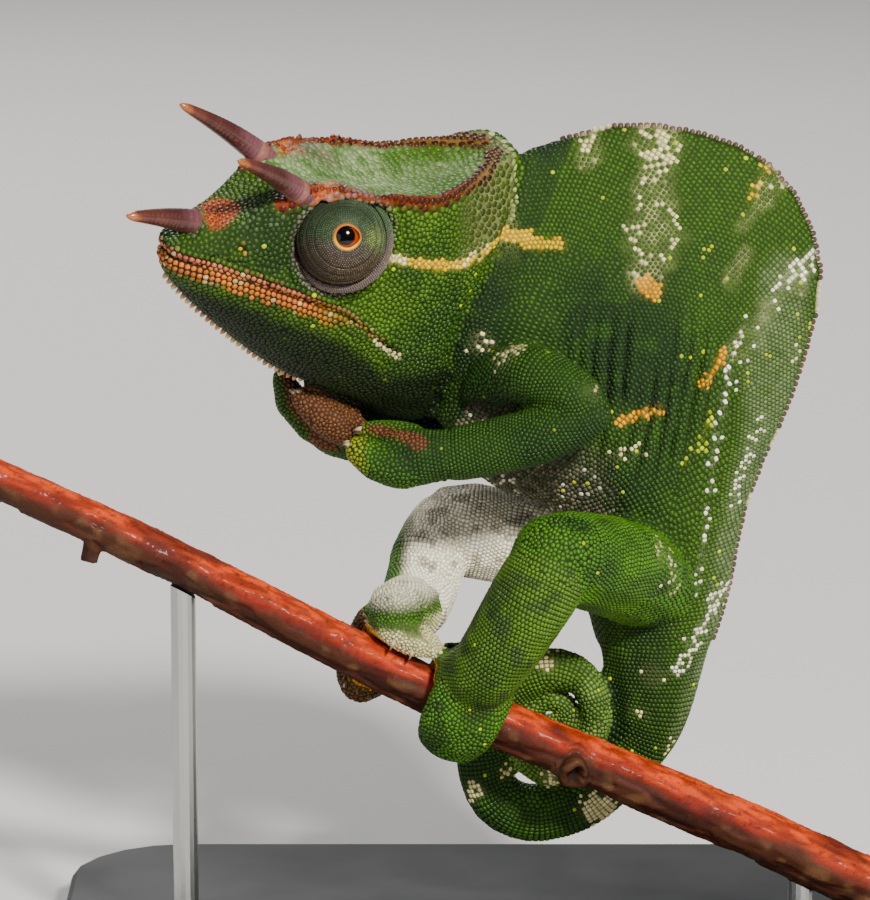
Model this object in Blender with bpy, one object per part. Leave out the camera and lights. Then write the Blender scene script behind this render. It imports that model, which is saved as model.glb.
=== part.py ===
# A three-horned chameleon, life size, gripping a cut length of branch that a plain stand holds up.
# Lengths are millimetres until a vertex is written. +Z is up, the animal faces -X and its left side faces -Y.
# The trunk, tail and coil share the plane Y = 0. The head has its own frame: forward, left and up.

import math

import bmesh
import bpy
from mathutils import Matrix, Vector

MM = 0.001
GAP = 0.3
SIDEWAYS = Vector((0.0, 1.0, 0.0))

# Head: its frame, and the profiles read along its forward axis from snout to casque.
HEAD_PLACE = Vector((-12.5, -12.0, 94.0))
HEAD_FORWARD = Vector((-0.85, -0.52, -0.043))
HEAD_LEFT = Vector((0.5, -0.789, -0.343))
FACE_STATIONS = (21.5, 21.0, 19.9, 18.1, 15.8, 13.2, 10.6, 8.0, 5.4, 2.6, -0.4, -3.6, -7.0, -10.5,
                 -14.0, -17.2)
CASQUE_STATIONS = (-20.0, -22.4, -24.2)
THROAT_STATIONS = (-19.6, -21.3, -22.2)
TOP_LINE = ((21.9, 0.0), (20.5, 1.3), (17.5, 2.3), (14.0, 3.6), (11.0, 5.2), (8.0, 7.0), (3.0, 6.7),
            (-4.0, 4.7), (-11.0, 4.1), (-17.0, 5.4), (-22.0, 7.4), (-24.6, 7.0))
CREST_LINE = ((21.9, 0.0), (20.5, 1.0), (17.5, 2.0), (14.0, 3.6), (11.0, 5.8), (8.0, 8.4), (3.0, 9.3),
              (-3.0, 7.0), (-10.0, 5.1), (-17.0, 6.0), (-22.0, 7.7), (-24.6, 6.6))
CREST_HALF = ((21.9, 0.9), (19.6, 2.0), (16.0, 2.9), (12.0, 3.9), (8.0, 5.0), (3.0, 6.4), (-3.0, 7.6),
              (-10.0, 7.2), (-17.0, 5.2), (-22.0, 3.6), (-24.6, 2.2))
CHEEK_HALF = ((21.9, 1.3), (20.1, 3.0), (17.0, 4.5), (12.0, 6.1), (7.0, 6.9), (-1.0, 7.3), (-9.0, 9.2),
              (-16.0, 8.6), (-21.0, 6.6), (-24.6, 3.0))
MOUTH_LINE = ((21.9, -0.9), (17.0, -1.6), (12.4, -3.3), (8.2, -5.0), (4.0, -6.8), (1.0, -8.1),
              (-2.0, -10.3), (-7.0, -14.2), (-12.0, -15.8), (-17.0, -15.2), (-21.5, -8.5), (-24.6, -0.5))
LIP_HALF = ((21.9, 1.1), (20.1, 3.1), (17.0, 4.9), (12.5, 6.5), (8.0, 7.4), (2.0, 8.4), (-7.0, 9.2),
            (-14.0, 8.8), (-20.0, 6.6), (-24.6, 2.4))
GULAR_LINE = ((21.9, -2.1), (21.0, -4.4), (16.5, -9.2), (10.0, -15.0), (5.0, -18.9), (-3.0, -23.9),
              (-9.0, -27.5), (-13.0, -29.8), (-17.0, -31.0), (-19.5, -29.6), (-21.5, -25.0), (-22.5, -20.0))

# Eyes: domed turrets set low in their sockets.
EYE_RADIUS = 6.2
EYE_DOME = 5.8
EYE_CENTRE = Vector((2.2, 5.8, 1.1))
EYE_BACK = 5.3

# Horns: one over the snout and one before each eye, given as root, tip and root radius.
ROSTRAL_HORN = ((14.4, 0.0, 0.9), (27.1, 0.0, 4.4), 1.75)
BROW_HORN = ((5.4, 4.1, 5.6), (17.8, 7.0, 13.9), 1.8)
HORN_BOW = 0.4

# Trunk: belly line, back line with its sail, half width, and how much of the section is a thin sail.
BELLY_LINE = ((1.6, 70.1), (3.2, 63.0), (7.5, 59.2), (11.4, 57.9), (14.2, 56.0), (16.5, 51.7), (18.2, 44.9),
              (19.4, 40.3))
BACK_LINE = ((10.3, 100.4), (24.3, 103.6), (39.2, 99.2), (45.9, 87.1), (43.2, 72.0), (37.7, 58.2),
             (35.5, 47.0), (33.6, 40.2))
TRUNK_HALF = (7.0, 9.0, 9.8, 9.6, 8.5, 7.0, 5.8, 4.6)
SAIL_SHARE = (0.75, 1.0, 1.0, 1.0, 0.85, 0.55, 0.25, 0.0)
SAIL_EDGE = 0.55
NECK_END = 0.45
TRUNK_END = 4.7

# Tail: centre line (X, Y, Z, half height), down the shaft, round the wide turn and into the coil.
TAIL_LINE = ((26.5, 0.0, 40.25, 7.05), (26.3, 0.2, 33.2, 5.3), (25.1, 1.0, 28.6, 4.5),
             (22.3, 1.5, 24.4, 4.0), (18.6, 1.3, 20.5, 3.75), (14.3, 1.0, 18.8, 3.8),
             (10.7, 0.7, 18.8, 3.75), (7.5, 0.3, 20.7, 3.55), (5.8, -0.1, 24.9, 3.3),
             (5.7, -0.4, 29.5, 3.0), (7.9, -0.8, 34.3, 2.75), (13.6, -1.2, 37.1, 2.5),
             (17.9, -1.5, 36.0, 2.0), (19.5, -1.7, 32.2, 1.65), (18.9, -1.6, 28.2, 1.55),
             (16.9, -1.3, 25.9, 1.45), (13.9, -1.0, 24.2, 1.6), (11.0, -0.8, 25.9, 1.5),
             (10.2, -0.6, 29.4, 1.25), (11.6, -0.5, 32.2, 1.15), (14.4, -0.5, 33.4, 1.15),
             (16.5, -0.4, 31.2, 1.15), (15.0, -0.3, 28.0, 1.2), (13.0, -0.3, 29.5, 1.05),
             (14.3, -0.3, 30.6, 0.7))
TAIL_CUTS = (0.0, 2.3, 5.0, 8.5, 12.0, 24.0)
TAIL_STEPS = (8, 8, 9, 10, 23)
TAIL_DEPTH = 0.72

# Limbs: centre lines as (X, Y, Z, radius), from the body outwards.
LIMB_LINES = {
    "upper_arm_left": ((5.6, -3.0, 73.0, 4.3), (11.0, -10.4, 75.4, 3.9), (16.4, -14.2, 73.2, 3.7)),
    "forearm_left": ((17.2, -14.4, 71.6, 3.6), (13.0, -14.0, 69.0, 3.55), (7.4, -12.8, 67.2, 3.5),
                     (2.2, -11.9, 66.0, 3.3)),
    "upper_arm_right": ((3.6, 3.0, 69.9, 4.4), (10.5, 9.6, 66.6, 3.8), (13.6, 12.0, 63.4, 3.5)),
    "forearm_right": ((13.4, 12.0, 62.6, 3.4), (6.0, 8.6, 62.4, 3.3), (-2.0, 4.2, 63.6, 3.1),
                      (-6.2, 1.6, 64.8, 2.9)),
    "thigh_left": ((26.4, -1.5, 47.6, 6.2), (21.3, -9.6, 51.8, 6.5), (14.6, -16.3, 54.8, 5.9)),
    "shin_left": ((13.6, -17.2, 53.6, 5.7), (10.8, -18.0, 49.2, 5.5), (7.7, -16.6, 43.6, 5.1),
                  (5.6, -14.6, 40.0, 4.8)),
    "thigh_right": ((24.0, 2.0, 48.6, 6.0), (13.0, 8.6, 50.4, 6.4), (3.8, 9.2, 52.1, 6.5)),
    "shin_right": ((1.9, 8.6, 52.6, 5.1), (-0.5, 5.0, 50.0, 4.9), (-1.6, 1.6, 46.9, 4.6),
                   (-2.8, -1.6, 44.8, 4.5)),
}
LIMB_DEPTH = 0.92
DOME_RINGS = (0.35, 0.9)
PALM_LINES = {
    "hand_left": ((2.0, -11.9, 66.0, 3.3), (-1.4, -11.6, 65.6, 3.5), (-4.2, -11.2, 65.8, 3.2)),
    "hand_right": ((-6.6, 1.4, 65.0, 2.9), (-9.6, -0.6, 65.8, 3.2), (-12.2, -2.0, 66.6, 3.0)),
    "foot_left": ((5.6, -14.4, 40.0, 4.8), (4.0, -12.4, 38.6, 4.6), (3.2, -9.6, 38.4, 3.8)),
    "foot_right": ((-2.8, -1.8, 45.0, 4.5), (-4.0, -4.8, 45.0, 4.5), (-4.6, -7.4, 45.1, 4.0)),
}
FINGER_LINES = {
    "hand_left_outer_toes": ((-3.0, -12.6, 64.4, 2.6), (-6.0, -12.7, 64.9, 2.6), (-8.6, -12.3, 66.4, 2.1)),
    "hand_left_inner_toes": ((-2.6, -9.6, 67.3, 2.1), (-5.2, -9.0, 67.7, 2.0), (-7.6, -9.0, 68.0, 1.6)),
    "hand_right_outer_toes": ((-11.0, -1.0, 65.4, 2.3), (-14.6, -1.4, 67.4, 2.4), (-17.2, -1.6, 70.4, 2.2),
                              (-18.0, -2.4, 73.0, 1.6)),
    "hand_right_inner_toes": ((-9.8, -4.6, 67.4, 2.4), (-12.6, -5.8, 69.0, 2.5), (-15.4, -5.6, 71.4, 1.9)),
}

# Perch: a cut length of branch, thicker to the right, with a side stub and a knot.
BRANCH_LEFT = Vector((-57.9, -8.5, 64.8))
BRANCH_RIGHT = Vector((57.3, -8.5, 9.1))
BRANCH_RADII = (2.35, 3.45)
BRANCH_BOW = 0.55
STUB_ALONG = 0.155
STUB_LENGTH = 2.2
STUB_RADIUS = 1.3
KNOT_ALONG = 0.645
KNOT_RADIUS = 1.9
KNOT_HEIGHT = 0.55

# Toes that wrap the perch: place along it, turn about it (0 is the front, 90 the top), half width.
GRIPS = {
    "foot_left_outer_toes": (3.2, 62.0, -72.0, 5.0, 2.3),
    "foot_left_inner_toes": (1.8, 118.0, 226.0, 3.8, 2.0),
    "foot_right_inner_toes": (-5.5, 96.0, 54.0, 4.8, 1.8),
    "foot_right_outer_toes": (-7.4, 112.0, 252.0, 4.2, 2.0),
}

# Stand: a flat round-cornered base and two rods up to the perch.
BASE_SIZE = (104.0, 68.0, 5.0)
BASE_CENTRE = (6.0, 0.0)
BASE_CORNER = 14.0
BASE_EDGE = 0.8
ROD_RADIUS = 1.5
ROD_PLACES = {"stand_rod_left": -30.0, "stand_rod_right": 44.0}


def clear_scene():
    for item in list(bpy.data.objects):
        bpy.data.objects.remove(item, do_unlink=True)


def make_material(name, colour, roughness, metallic=0.0):
    material = bpy.data.materials.new(name)
    material.use_nodes = True
    shader = material.node_tree.nodes["Principled BSDF"]
    shader.inputs["Base Color"].default_value = (*colour, 1.0)
    shader.inputs["Roughness"].default_value = roughness
    shader.inputs["Metallic"].default_value = metallic
    return material


def blend(a, b, c, d, t):
    """Catmull-Rom between b and c, for tuples of any length."""
    def one(p, q, r, s):
        curve = 2 * p - 5 * q + 4 * r - s
        bend = -p + 3 * q - 3 * r + s
        return 0.5 * (2 * q + (r - p) * t + curve * t * t + bend * t * t * t)
    return tuple(one(*values) for values in zip(a, b, c, d))


def along(keys, place):
    """A smooth path through keys, at place 0 to len(keys) - 1."""
    last = len(keys) - 1
    index = min(max(int(math.floor(place)), 0), last - 1)
    before = keys[index - 1] if index > 0 else tuple(2 * p - q for p, q in zip(keys[0], keys[1]))
    after = tuple(2 * p - q for p, q in zip(keys[last], keys[last - 1]))
    if index + 2 <= last:
        after = keys[index + 2]
    return blend(before, keys[index], keys[index + 1], after, place - index)


def profile(keys, place):
    """The height of a profile line at a place along it, eased between its keys."""
    if place >= keys[0][0]:
        return keys[0][1]
    for (start, low), (end, high) in zip(keys, keys[1:]):
        if place >= end:
            share = (start - place) / (start - end)
            return low + (high - low) * share
    return keys[-1][1]


def eased(keys, place, reach=1.2):
    """A profile line with its corners rounded off."""
    return (profile(keys, place - reach) + 2 * profile(keys, place) + profile(keys, place + reach)) / 4


def add_object(name, bm, material, smooth=True):
    for vert in bm.verts:
        vert.co *= MM
    bmesh.ops.recalc_face_normals(bm, faces=bm.faces)
    for face in bm.faces:
        face.smooth = smooth
    mesh = bpy.data.meshes.new(name)
    bm.to_mesh(mesh)
    bm.free()
    mesh.materials.append(material)
    item = bpy.data.objects.new(name, mesh)
    bpy.context.scene.collection.objects.link(item)
    return item


def loft(rings):
    """A closed skin over rings of equal count: each ring is extruded from the one before."""
    bm = bmesh.new()
    count = len(rings[0])
    current = [bm.verts.new(point) for point in rings[0]]
    edges = [bm.edges.new((current[i], current[(i + 1) % count])) for i in range(count)]
    bm.faces.new(current)
    for ring in rings[1:]:
        made = bmesh.ops.extrude_edge_only(bm, edges=edges)["geom"]
        fresh = {item for item in made if isinstance(item, bmesh.types.BMVert)}
        follow = []
        for vert in current:
            partner = [edge.other_vert(vert) for edge in vert.link_edges if edge.other_vert(vert) in fresh]
            follow.append(partner[0])
        for vert, point in zip(follow, ring):
            vert.co = point
        current = follow
        edges = [bm.edges.get((current[i], current[(i + 1) % count])) for i in range(count)]
    bm.faces.new(current)
    return bm


def section(centre, across, upward, half_wide, half_high, sides):
    points = []
    for index in range(sides):
        angle = 2 * math.pi * index / sides
        wide = across * (half_wide * math.cos(angle))
        high = upward * (half_high * math.sin(angle))
        points.append(centre + wide + high)
    return points


def tube_rings(path, start, end, steps, sides, depth, hint, round_start=True, round_end=True,
               spill=0.0):
    """Rings square to a path of (X, Y, Z, radius), with domed ends where asked.

    spill is how far past its ends the path may be read for its direction.
    """
    places = [start + (end - start) * step / steps for step in range(steps + 1)]
    rings = []
    for number, place in enumerate(places):
        value = path(place)
        centre = Vector(value[:3])
        ahead = Vector(path(min(place + 0.02, end + spill))[:3])
        behind = Vector(path(max(place - 0.02, start - spill))[:3])
        tangent = (ahead - behind).normalized()
        across = (hint - tangent * hint.dot(tangent)).normalized()
        upward = tangent.cross(across)
        radius = value[3]
        caps = [(0.0, 1.0)]
        if number == 0 and round_start:
            caps = [(-math.cos(a), math.sin(a)) for a in DOME_RINGS] + caps
        if number == steps and round_end:
            caps = caps + [(math.cos(a), math.sin(a)) for a in reversed(DOME_RINGS)]
        for shift, share in caps:
            middle = centre + tangent * (radius * shift)
            rings.append(section(middle, across, upward, radius * share * depth, radius * share, sides))
    return rings


def head_frame():
    upward = HEAD_FORWARD.cross(HEAD_LEFT).normalized()
    forward = HEAD_FORWARD.normalized()
    left = upward.cross(forward)
    frame = Matrix((forward, left, upward)).transposed().to_4x4()
    frame.translation = HEAD_PLACE
    return frame


def head_ring(frame, station):
    """Half outline of the upper head, from the flat casque down to the lip, then mirrored."""
    top = eased(TOP_LINE, station)
    crest = eased(CREST_LINE, station)
    crest_half = eased(CREST_HALF, station, 0.6)
    cheek_half = eased(CHEEK_HALF, station, 0.6)
    lip = eased(MOUTH_LINE, station) + GAP / 2
    lip_half = eased(LIP_HALF, station, 0.6)
    depth = crest - lip
    half = [(crest_half * 0.55, top + (crest - top) * 0.35), (crest_half, crest),
            (crest_half + (cheek_half - crest_half) * 0.45, crest - depth * 0.2),
            (cheek_half, crest - depth * 0.48),
            (cheek_half + (lip_half - cheek_half) * 0.5, crest - depth * 0.75), (lip_half, lip),
            (lip_half * 0.5, lip)]
    outline = [(0.0, top)] + half + [(0.0, lip)] + [(-side, height) for side, height in reversed(half)]
    return [frame @ Vector((station, side, height)) for side, height in outline]


def jaw_ring(frame, station):
    """Outline of the lower jaw and throat, from the lip down to the keel under the chin."""
    lip = eased(MOUTH_LINE, station) - GAP / 2
    lip_half = eased(LIP_HALF, station, 0.6)
    keel = min(eased(GULAR_LINE, station), lip - 0.6)
    depth = lip - keel
    half = [(lip_half * 0.5, lip), (lip_half, lip), (lip_half * 0.98, lip - depth * 0.22),
            (lip_half * 0.86, lip - depth * 0.48), (lip_half * 0.62, lip - depth * 0.74),
            (lip_half * 0.3, lip - depth * 0.93)]
    outline = [(0.0, lip)] + half + [(0.0, keel)] + [(-side, height) for side, height in reversed(half)]
    return [frame @ Vector((station, side, height)) for side, height in outline]


def trunk_ring(place, shift, sides=22):
    """A section of the trunk on the plane that fans out from the belly to the back."""
    low = Vector((along(BELLY_LINE, place)[0], 0.0, along(BELLY_LINE, place)[1]))
    high = Vector((along(BACK_LINE, place)[0], 0.0, along(BACK_LINE, place)[1]))
    rise = (high - low).normalized()
    normal = Vector((rise.z, 0.0, -rise.x))
    half = along([(value,) for value in TRUNK_HALF], place)[0]
    share = along([(value,) for value in SAIL_SHARE], place)[0]
    points = []
    for index in range(sides):
        angle = 2 * math.pi * index / sides
        height = (1 - math.cos(angle)) / 2
        oval = abs(math.sin(angle))
        rib = oval * (1 - 0.9 * max(height - 0.3, 0.0) ** 0.8)
        side = half * (oval * (1 - share) + max(rib, 0.0) * share)
        if height > 0.5:
            side = max(side, SAIL_EDGE * oval / max(oval, 0.2))
        side = math.copysign(side, math.sin(angle)) if oval > 1e-6 else 0.0
        point = low + (high - low) * height + Vector((0.0, side, 0.0)) + normal * shift
        points.append(point)
    return points


def trunk_part(start, end, steps, shift_start, shift_end):
    rings = []
    for step in range(steps + 1):
        place = start + (end - start) * step / steps
        shift = shift_start if step == 0 else shift_end if step == steps else 0.0
        rings.append(trunk_ring(place, shift))
    return loft(rings)


def neck_rings(frame):
    """From inside the back of the head to the front of the trunk."""
    rear = trunk_ring(NECK_END, -GAP / 2)
    inner = []
    middle = frame @ Vector((-11.0, 0.0, -8.5))
    for index, point in enumerate(rear):
        angle = 2 * math.pi * index / len(rear)
        local = Vector((0.0, -6.2 * math.sin(angle), -11.5 * math.cos(angle)))
        inner.append(middle + (frame.to_3x3() @ local))
    rings = []
    for step in range(6):
        share = step / 5
        ease = share * share * (3 - 2 * share)
        rings.append([a.lerp(b, ease) for a, b in zip(inner, rear)])
    return rings


def tail_path(place):
    """The tail's centre line."""
    return along(TAIL_LINE, place)


def branch_path(place):
    """The perch's centre line and radius, place 0 at its left end and 1 at its right."""
    centre = BRANCH_LEFT.lerp(BRANCH_RIGHT, place)
    centre.z += BRANCH_BOW * math.sin(place * 9.0)
    centre.y += BRANCH_BOW * math.sin(place * 7.0 + 1.0)
    radius = BRANCH_RADII[0] + (BRANCH_RADII[1] - BRANCH_RADII[0]) * place
    return (centre.x, centre.y, centre.z, radius)


def branch_share(x):
    return (x - BRANCH_LEFT.x) / (BRANCH_RIGHT.x - BRANCH_LEFT.x)


def grip_bm(x, turn_start, turn_end, half_wide, half_thick):
    """A bundle of toes laid round the perch as an arc, thin where it ends."""
    direction = (BRANCH_RIGHT - BRANCH_LEFT).normalized()
    front = Vector((0.0, -1.0, 0.0))
    top = direction.cross(front) * -1
    centre_value = branch_path(branch_share(x))
    centre = Vector(centre_value[:3])
    reach = centre_value[3] + GAP + 0.25 + half_thick
    rings = []
    steps = 6
    for step in range(steps + 1):
        share = step / steps
        angle = math.radians(turn_start + (turn_end - turn_start) * share)
        outward = front * math.cos(angle) + top * math.sin(angle)
        taper = math.sqrt(max(1 - share ** 4, 0.0)) * 0.75 + 0.25
        if step == steps:
            taper = 0.45
        thick = half_thick * (0.55 + 0.45 * taper)
        middle = centre + outward * (reach - half_thick + thick)
        rings.append(section(middle, direction, outward, half_wide * taper, thick, 10))
    return loft(rings)


def build_raw():
    """Every soft and hard form at full size, before its neighbours are cut away from it."""
    frame = head_frame()
    raw = {}
    raw["head"] = loft([head_ring(frame, station) for station in FACE_STATIONS + CASQUE_STATIONS])
    raw["lower_jaw"] = loft([jaw_ring(frame, station) for station in FACE_STATIONS + THROAT_STATIONS])
    raw["neck"] = loft(neck_rings(frame))
    raw["trunk"] = trunk_part(NECK_END, TRUNK_END, 13, GAP / 2, -GAP / 2)
    raw["pelvis"] = trunk_part(TRUNK_END, 7.0, 6, GAP / 2, -GAP / 2)
    for lines, steps, sides, depth in ((LIMB_LINES, 5, 12, LIMB_DEPTH), (PALM_LINES, 2, 10, 1.0),
                                       (FINGER_LINES, 3, 8, 1.0)):
        for name, line in lines.items():
            raw[name] = limb_bm(line, steps, sides, depth)
    for name, values in GRIPS.items():
        raw[name] = grip_bm(*values)
    for number, (start, end) in enumerate(zip(TAIL_CUTS, TAIL_CUTS[1:]), 1):
        raw["tail_%d" % number] = tail_part(start, end, number)
    for side, sign in (("left", 1), ("right", -1)):
        raw["eye_" + side] = eye_bm(frame, sign)
        raw["horn_" + side] = horn_bm(frame, BROW_HORN, sign)
    raw["horn_rostral"] = horn_bm(frame, ROSTRAL_HORN, 1)
    raw["perch_branch"] = branch_bm()
    return raw


def limb_bm(line, steps, sides, depth):
    """A round-ended limb, palm or finger along its own line."""
    return loft(tube_rings(lambda place: along(line, place), 0.0, len(line) - 1.0, steps, sides, depth,
                           limb_hint(line)))


def limb_hint(line):
    """A direction square to the limb's own bend, so that its rings don't twist."""
    first = Vector(line[1][:3]) - Vector(line[0][:3])
    second = Vector(line[-1][:3]) - Vector(line[1][:3])
    normal = first.cross(second)
    if normal.length < 1e-3:
        normal = Vector((0.0, 1.0, 0.0))
    return normal.normalized()


def tail_part(start, end, number):
    """One length of tail between two cuts, square to its own centre line."""
    length = sum((Vector(tail_path(start + (end - start) * (step + 1) / 40)[:3])
                  - Vector(tail_path(start + (end - start) * step / 40)[:3])).length for step in range(40))
    trim = GAP / 2 * (end - start) / length
    last = number == len(TAIL_STEPS)
    stop = end if last else end - trim
    spill = 0.0 if last else 0.1
    rings = tube_rings(tail_path, start + trim, stop, TAIL_STEPS[number - 1], 10, TAIL_DEPTH, SIDEWAYS, False,
                       last, spill)
    return loft(rings)


def eye_bm(frame, sign):
    bm = bmesh.new()
    bmesh.ops.create_uvsphere(bm, u_segments=14, v_segments=9, radius=EYE_RADIUS)
    centre = Vector((EYE_CENTRE.x, EYE_CENTRE.y * sign, EYE_CENTRE.z))
    dome = Matrix.Diagonal((1.0, EYE_DOME / EYE_RADIUS, 1.0, 1.0))
    turn = Matrix.Rotation(math.radians(-90 * sign), 4, "X")
    bmesh.ops.transform(bm, matrix=frame @ Matrix.Translation(centre) @ dome @ turn, verts=bm.verts)
    inner = frame @ Vector((EYE_CENTRE.x, EYE_BACK * sign, EYE_CENTRE.z))
    outward = frame.to_3x3() @ Vector((0.0, sign, 0.0))
    everything = bm.verts[:] + bm.edges[:] + bm.faces[:]
    cut = bmesh.ops.bisect_plane(bm, geom=everything, plane_co=inner, plane_no=outward, clear_inner=True)
    rim = [item for item in cut["geom_cut"] if isinstance(item, bmesh.types.BMEdge)]
    bmesh.ops.contextual_create(bm, geom=rim)
    return bm


def horn_bm(frame, horn, sign):
    """A round horn that tapers and bows a little upwards to a blunt tip."""
    root, tip, radius = horn
    root = Vector((root[0], root[1] * sign, root[2]))
    tip = Vector((tip[0], tip[1] * sign, tip[2]))
    tangent = (tip - root).normalized()
    across = Vector((0.0, 1.0, 0.0))
    across = (across - tangent * across.dot(tangent)).normalized()
    upward = across.cross(tangent) * -1
    rings = []
    for share in (0.0, 0.22, 0.42, 0.6, 0.75, 0.87, 0.95, 1.0):
        size = radius * (1 - share ** 1.5 * 0.72)
        if share > 0.9:
            size *= math.sqrt(max(1 - ((share - 0.9) / 0.103) ** 2, 0.02))
        centre = root.lerp(tip, share) - upward * (HORN_BOW * math.sin(math.pi * share))
        rings.append([frame @ point for point in section(centre, across, upward, size, size, 10)])
    return loft(rings)


def open_tube(keys, steps, sides, hint):
    """Rings along a straight pair of keys, with flat ends."""
    return tube_rings(lambda place: along(keys, place), 0.0, 1.0, steps, sides, 1.0, hint, False, False)


def branch_bm():
    return loft(tube_rings(branch_path, 0.0, 1.0, 13, 12, 1.0, SIDEWAYS, False, False))


def stub_bm():
    """The broken stub of a side shoot, pointing down from the perch."""
    value = branch_path(STUB_ALONG)
    start = Vector(value[:3])
    down = Vector((-0.25, -0.2, -1.0)).normalized()
    path = [(*(start + down * 0.8), STUB_RADIUS),
            (*(start + down * (value[3] + STUB_LENGTH)), STUB_RADIUS * 0.8)]
    return loft(open_tube(path, 3, 10, SIDEWAYS))


def knot_bm():
    """A raised ring of bark round an old bud scar, on the front of the perch."""
    value = branch_path(KNOT_ALONG)
    middle = Vector((value[0], value[1], value[2]))
    front = Vector((0.05, -0.85, -0.5)).normalized()
    path = [(*(middle + front * (value[3] - 1.2)), KNOT_RADIUS * 1.2),
            (*(middle + front * (value[3] + KNOT_HEIGHT)), KNOT_RADIUS)]
    return loft(open_tube(path, 2, 12, Vector((0.0, 0.0, 1.0))))


def base_bm():
    """The flat base, with round corners and a small bevel on its top edge."""
    length, width, thick = BASE_SIZE
    outline = []
    for quarter, (sx, sy) in enumerate(((1, 1), (-1, 1), (-1, -1), (1, -1))):
        for step in range(6):
            angle = math.radians(90 * quarter + 18 * step)
            across = sx * (length / 2 - BASE_CORNER) + BASE_CORNER * math.cos(angle)
            deep = sy * (width / 2 - BASE_CORNER) + BASE_CORNER * math.sin(angle)
            outline.append(Vector((BASE_CENTRE[0] + across, BASE_CENTRE[1] + deep, 0.0)))
    bm = bmesh.new()
    face = bm.faces.new([bm.verts.new(point) for point in outline])
    made = bmesh.ops.extrude_face_region(bm, geom=[face])["geom"]
    upper = [item for item in made if isinstance(item, bmesh.types.BMVert)]
    bmesh.ops.translate(bm, vec=(0.0, 0.0, thick), verts=upper)
    rim = [edge for edge in bm.edges if all(vert in upper for vert in edge.verts)]
    bmesh.ops.bevel(bm, geom=rim, offset=BASE_EDGE, segments=2, profile=0.5, affect="EDGES")
    return bm


def rod_bm(x):
    """A round rod from the top of the base into the perch, where it is cut to fit."""
    value = branch_path(branch_share(x))
    path = [(x, value[1], BASE_SIZE[2] + GAP, ROD_RADIUS), (x, value[1], value[2], ROD_RADIUS)]
    return loft(open_tube(path, 1, 16, SIDEWAYS))


def swollen(bm, amount):
    """A copy with every vertex pushed out along its normal."""
    copy = bm.copy()
    bmesh.ops.recalc_face_normals(copy, faces=copy.faces)
    copy.normal_update()
    moves = [vert.normal * amount for vert in copy.verts]
    for vert, move in zip(copy.verts, moves):
        vert.co += move
    return copy


def join_or_cut(name, target, tool, operation, material):
    """Target with tool cut away or added, by an exact Boolean, as a fresh mesh."""
    body = add_object(name, target, material)
    other = add_object(name + "_tool", tool, material)
    modifier = body.modifiers.new("cut", "BOOLEAN")
    modifier.operation = operation
    modifier.solver = "EXACT"
    modifier.object = other
    bpy.context.view_layer.update()
    result = body.evaluated_get(bpy.context.evaluated_depsgraph_get()).to_mesh()
    bm = bmesh.new()
    bm.from_mesh(result)
    for vert in bm.verts:
        vert.co /= MM
    bmesh.ops.remove_doubles(bm, verts=bm.verts, dist=0.02)
    bmesh.ops.dissolve_degenerate(bm, edges=bm.edges, dist=0.01)
    bpy.data.objects.remove(body, do_unlink=True)
    bpy.data.objects.remove(other, do_unlink=True)
    return keep_largest(bm)


def keep_largest(bm):
    """Drops the offcuts that a cut leaves behind."""
    left = set(bm.verts)
    islands = []
    while left:
        stack = [left.pop()]
        island = set(stack)
        while stack:
            for edge in stack.pop().link_edges:
                for vert in edge.verts:
                    if vert in left:
                        left.discard(vert)
                        island.add(vert)
                        stack.append(vert)
        islands.append(island)
    islands.sort(key=len, reverse=True)
    for island in islands[1:]:
        bmesh.ops.delete(bm, geom=list(island), context="VERTS")
    return bm


CUT_BY = {
    "head": ("eye_left", "eye_right"),
    "lower_jaw": ("trunk",),
    "horn_left": ("head",),
    "horn_right": ("head",),
    "horn_rostral": ("head",),
    "neck": ("head", "lower_jaw"),
    "upper_arm_left": ("trunk", "neck", "lower_jaw", "head"),
    "upper_arm_right": ("trunk", "neck", "lower_jaw"),
    "forearm_left": ("upper_arm_left", "trunk"),
    "forearm_right": ("upper_arm_right", "trunk", "neck", "lower_jaw"),
    "hand_left": ("forearm_left", "lower_jaw", "hand_right"),
    "hand_right": ("forearm_right", "lower_jaw"),
    "hand_left_outer_toes": ("hand_left",),
    "hand_left_inner_toes": ("hand_left", "lower_jaw", "hand_left_outer_toes", "hand_right"),
    "hand_right_outer_toes": ("hand_right", "lower_jaw"),
    "hand_right_inner_toes": ("hand_right", "lower_jaw", "hand_right_outer_toes"),
    "thigh_left": ("pelvis", "trunk"),
    "thigh_right": ("pelvis", "trunk"),
    "shin_left": ("thigh_left", "perch_branch"),
    "shin_right": ("thigh_right", "trunk"),
    "foot_left": ("shin_left", "perch_branch"),
    "foot_right": ("shin_right", "perch_branch"),
    "foot_left_outer_toes": ("foot_left", "shin_left", "perch_branch"),
    "foot_left_inner_toes": ("foot_left", "perch_branch", "shin_left"),
    "foot_right_inner_toes": ("foot_right", "perch_branch"),
    "foot_right_outer_toes": ("foot_right", "perch_branch", "foot_right_inner_toes"),
}


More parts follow.
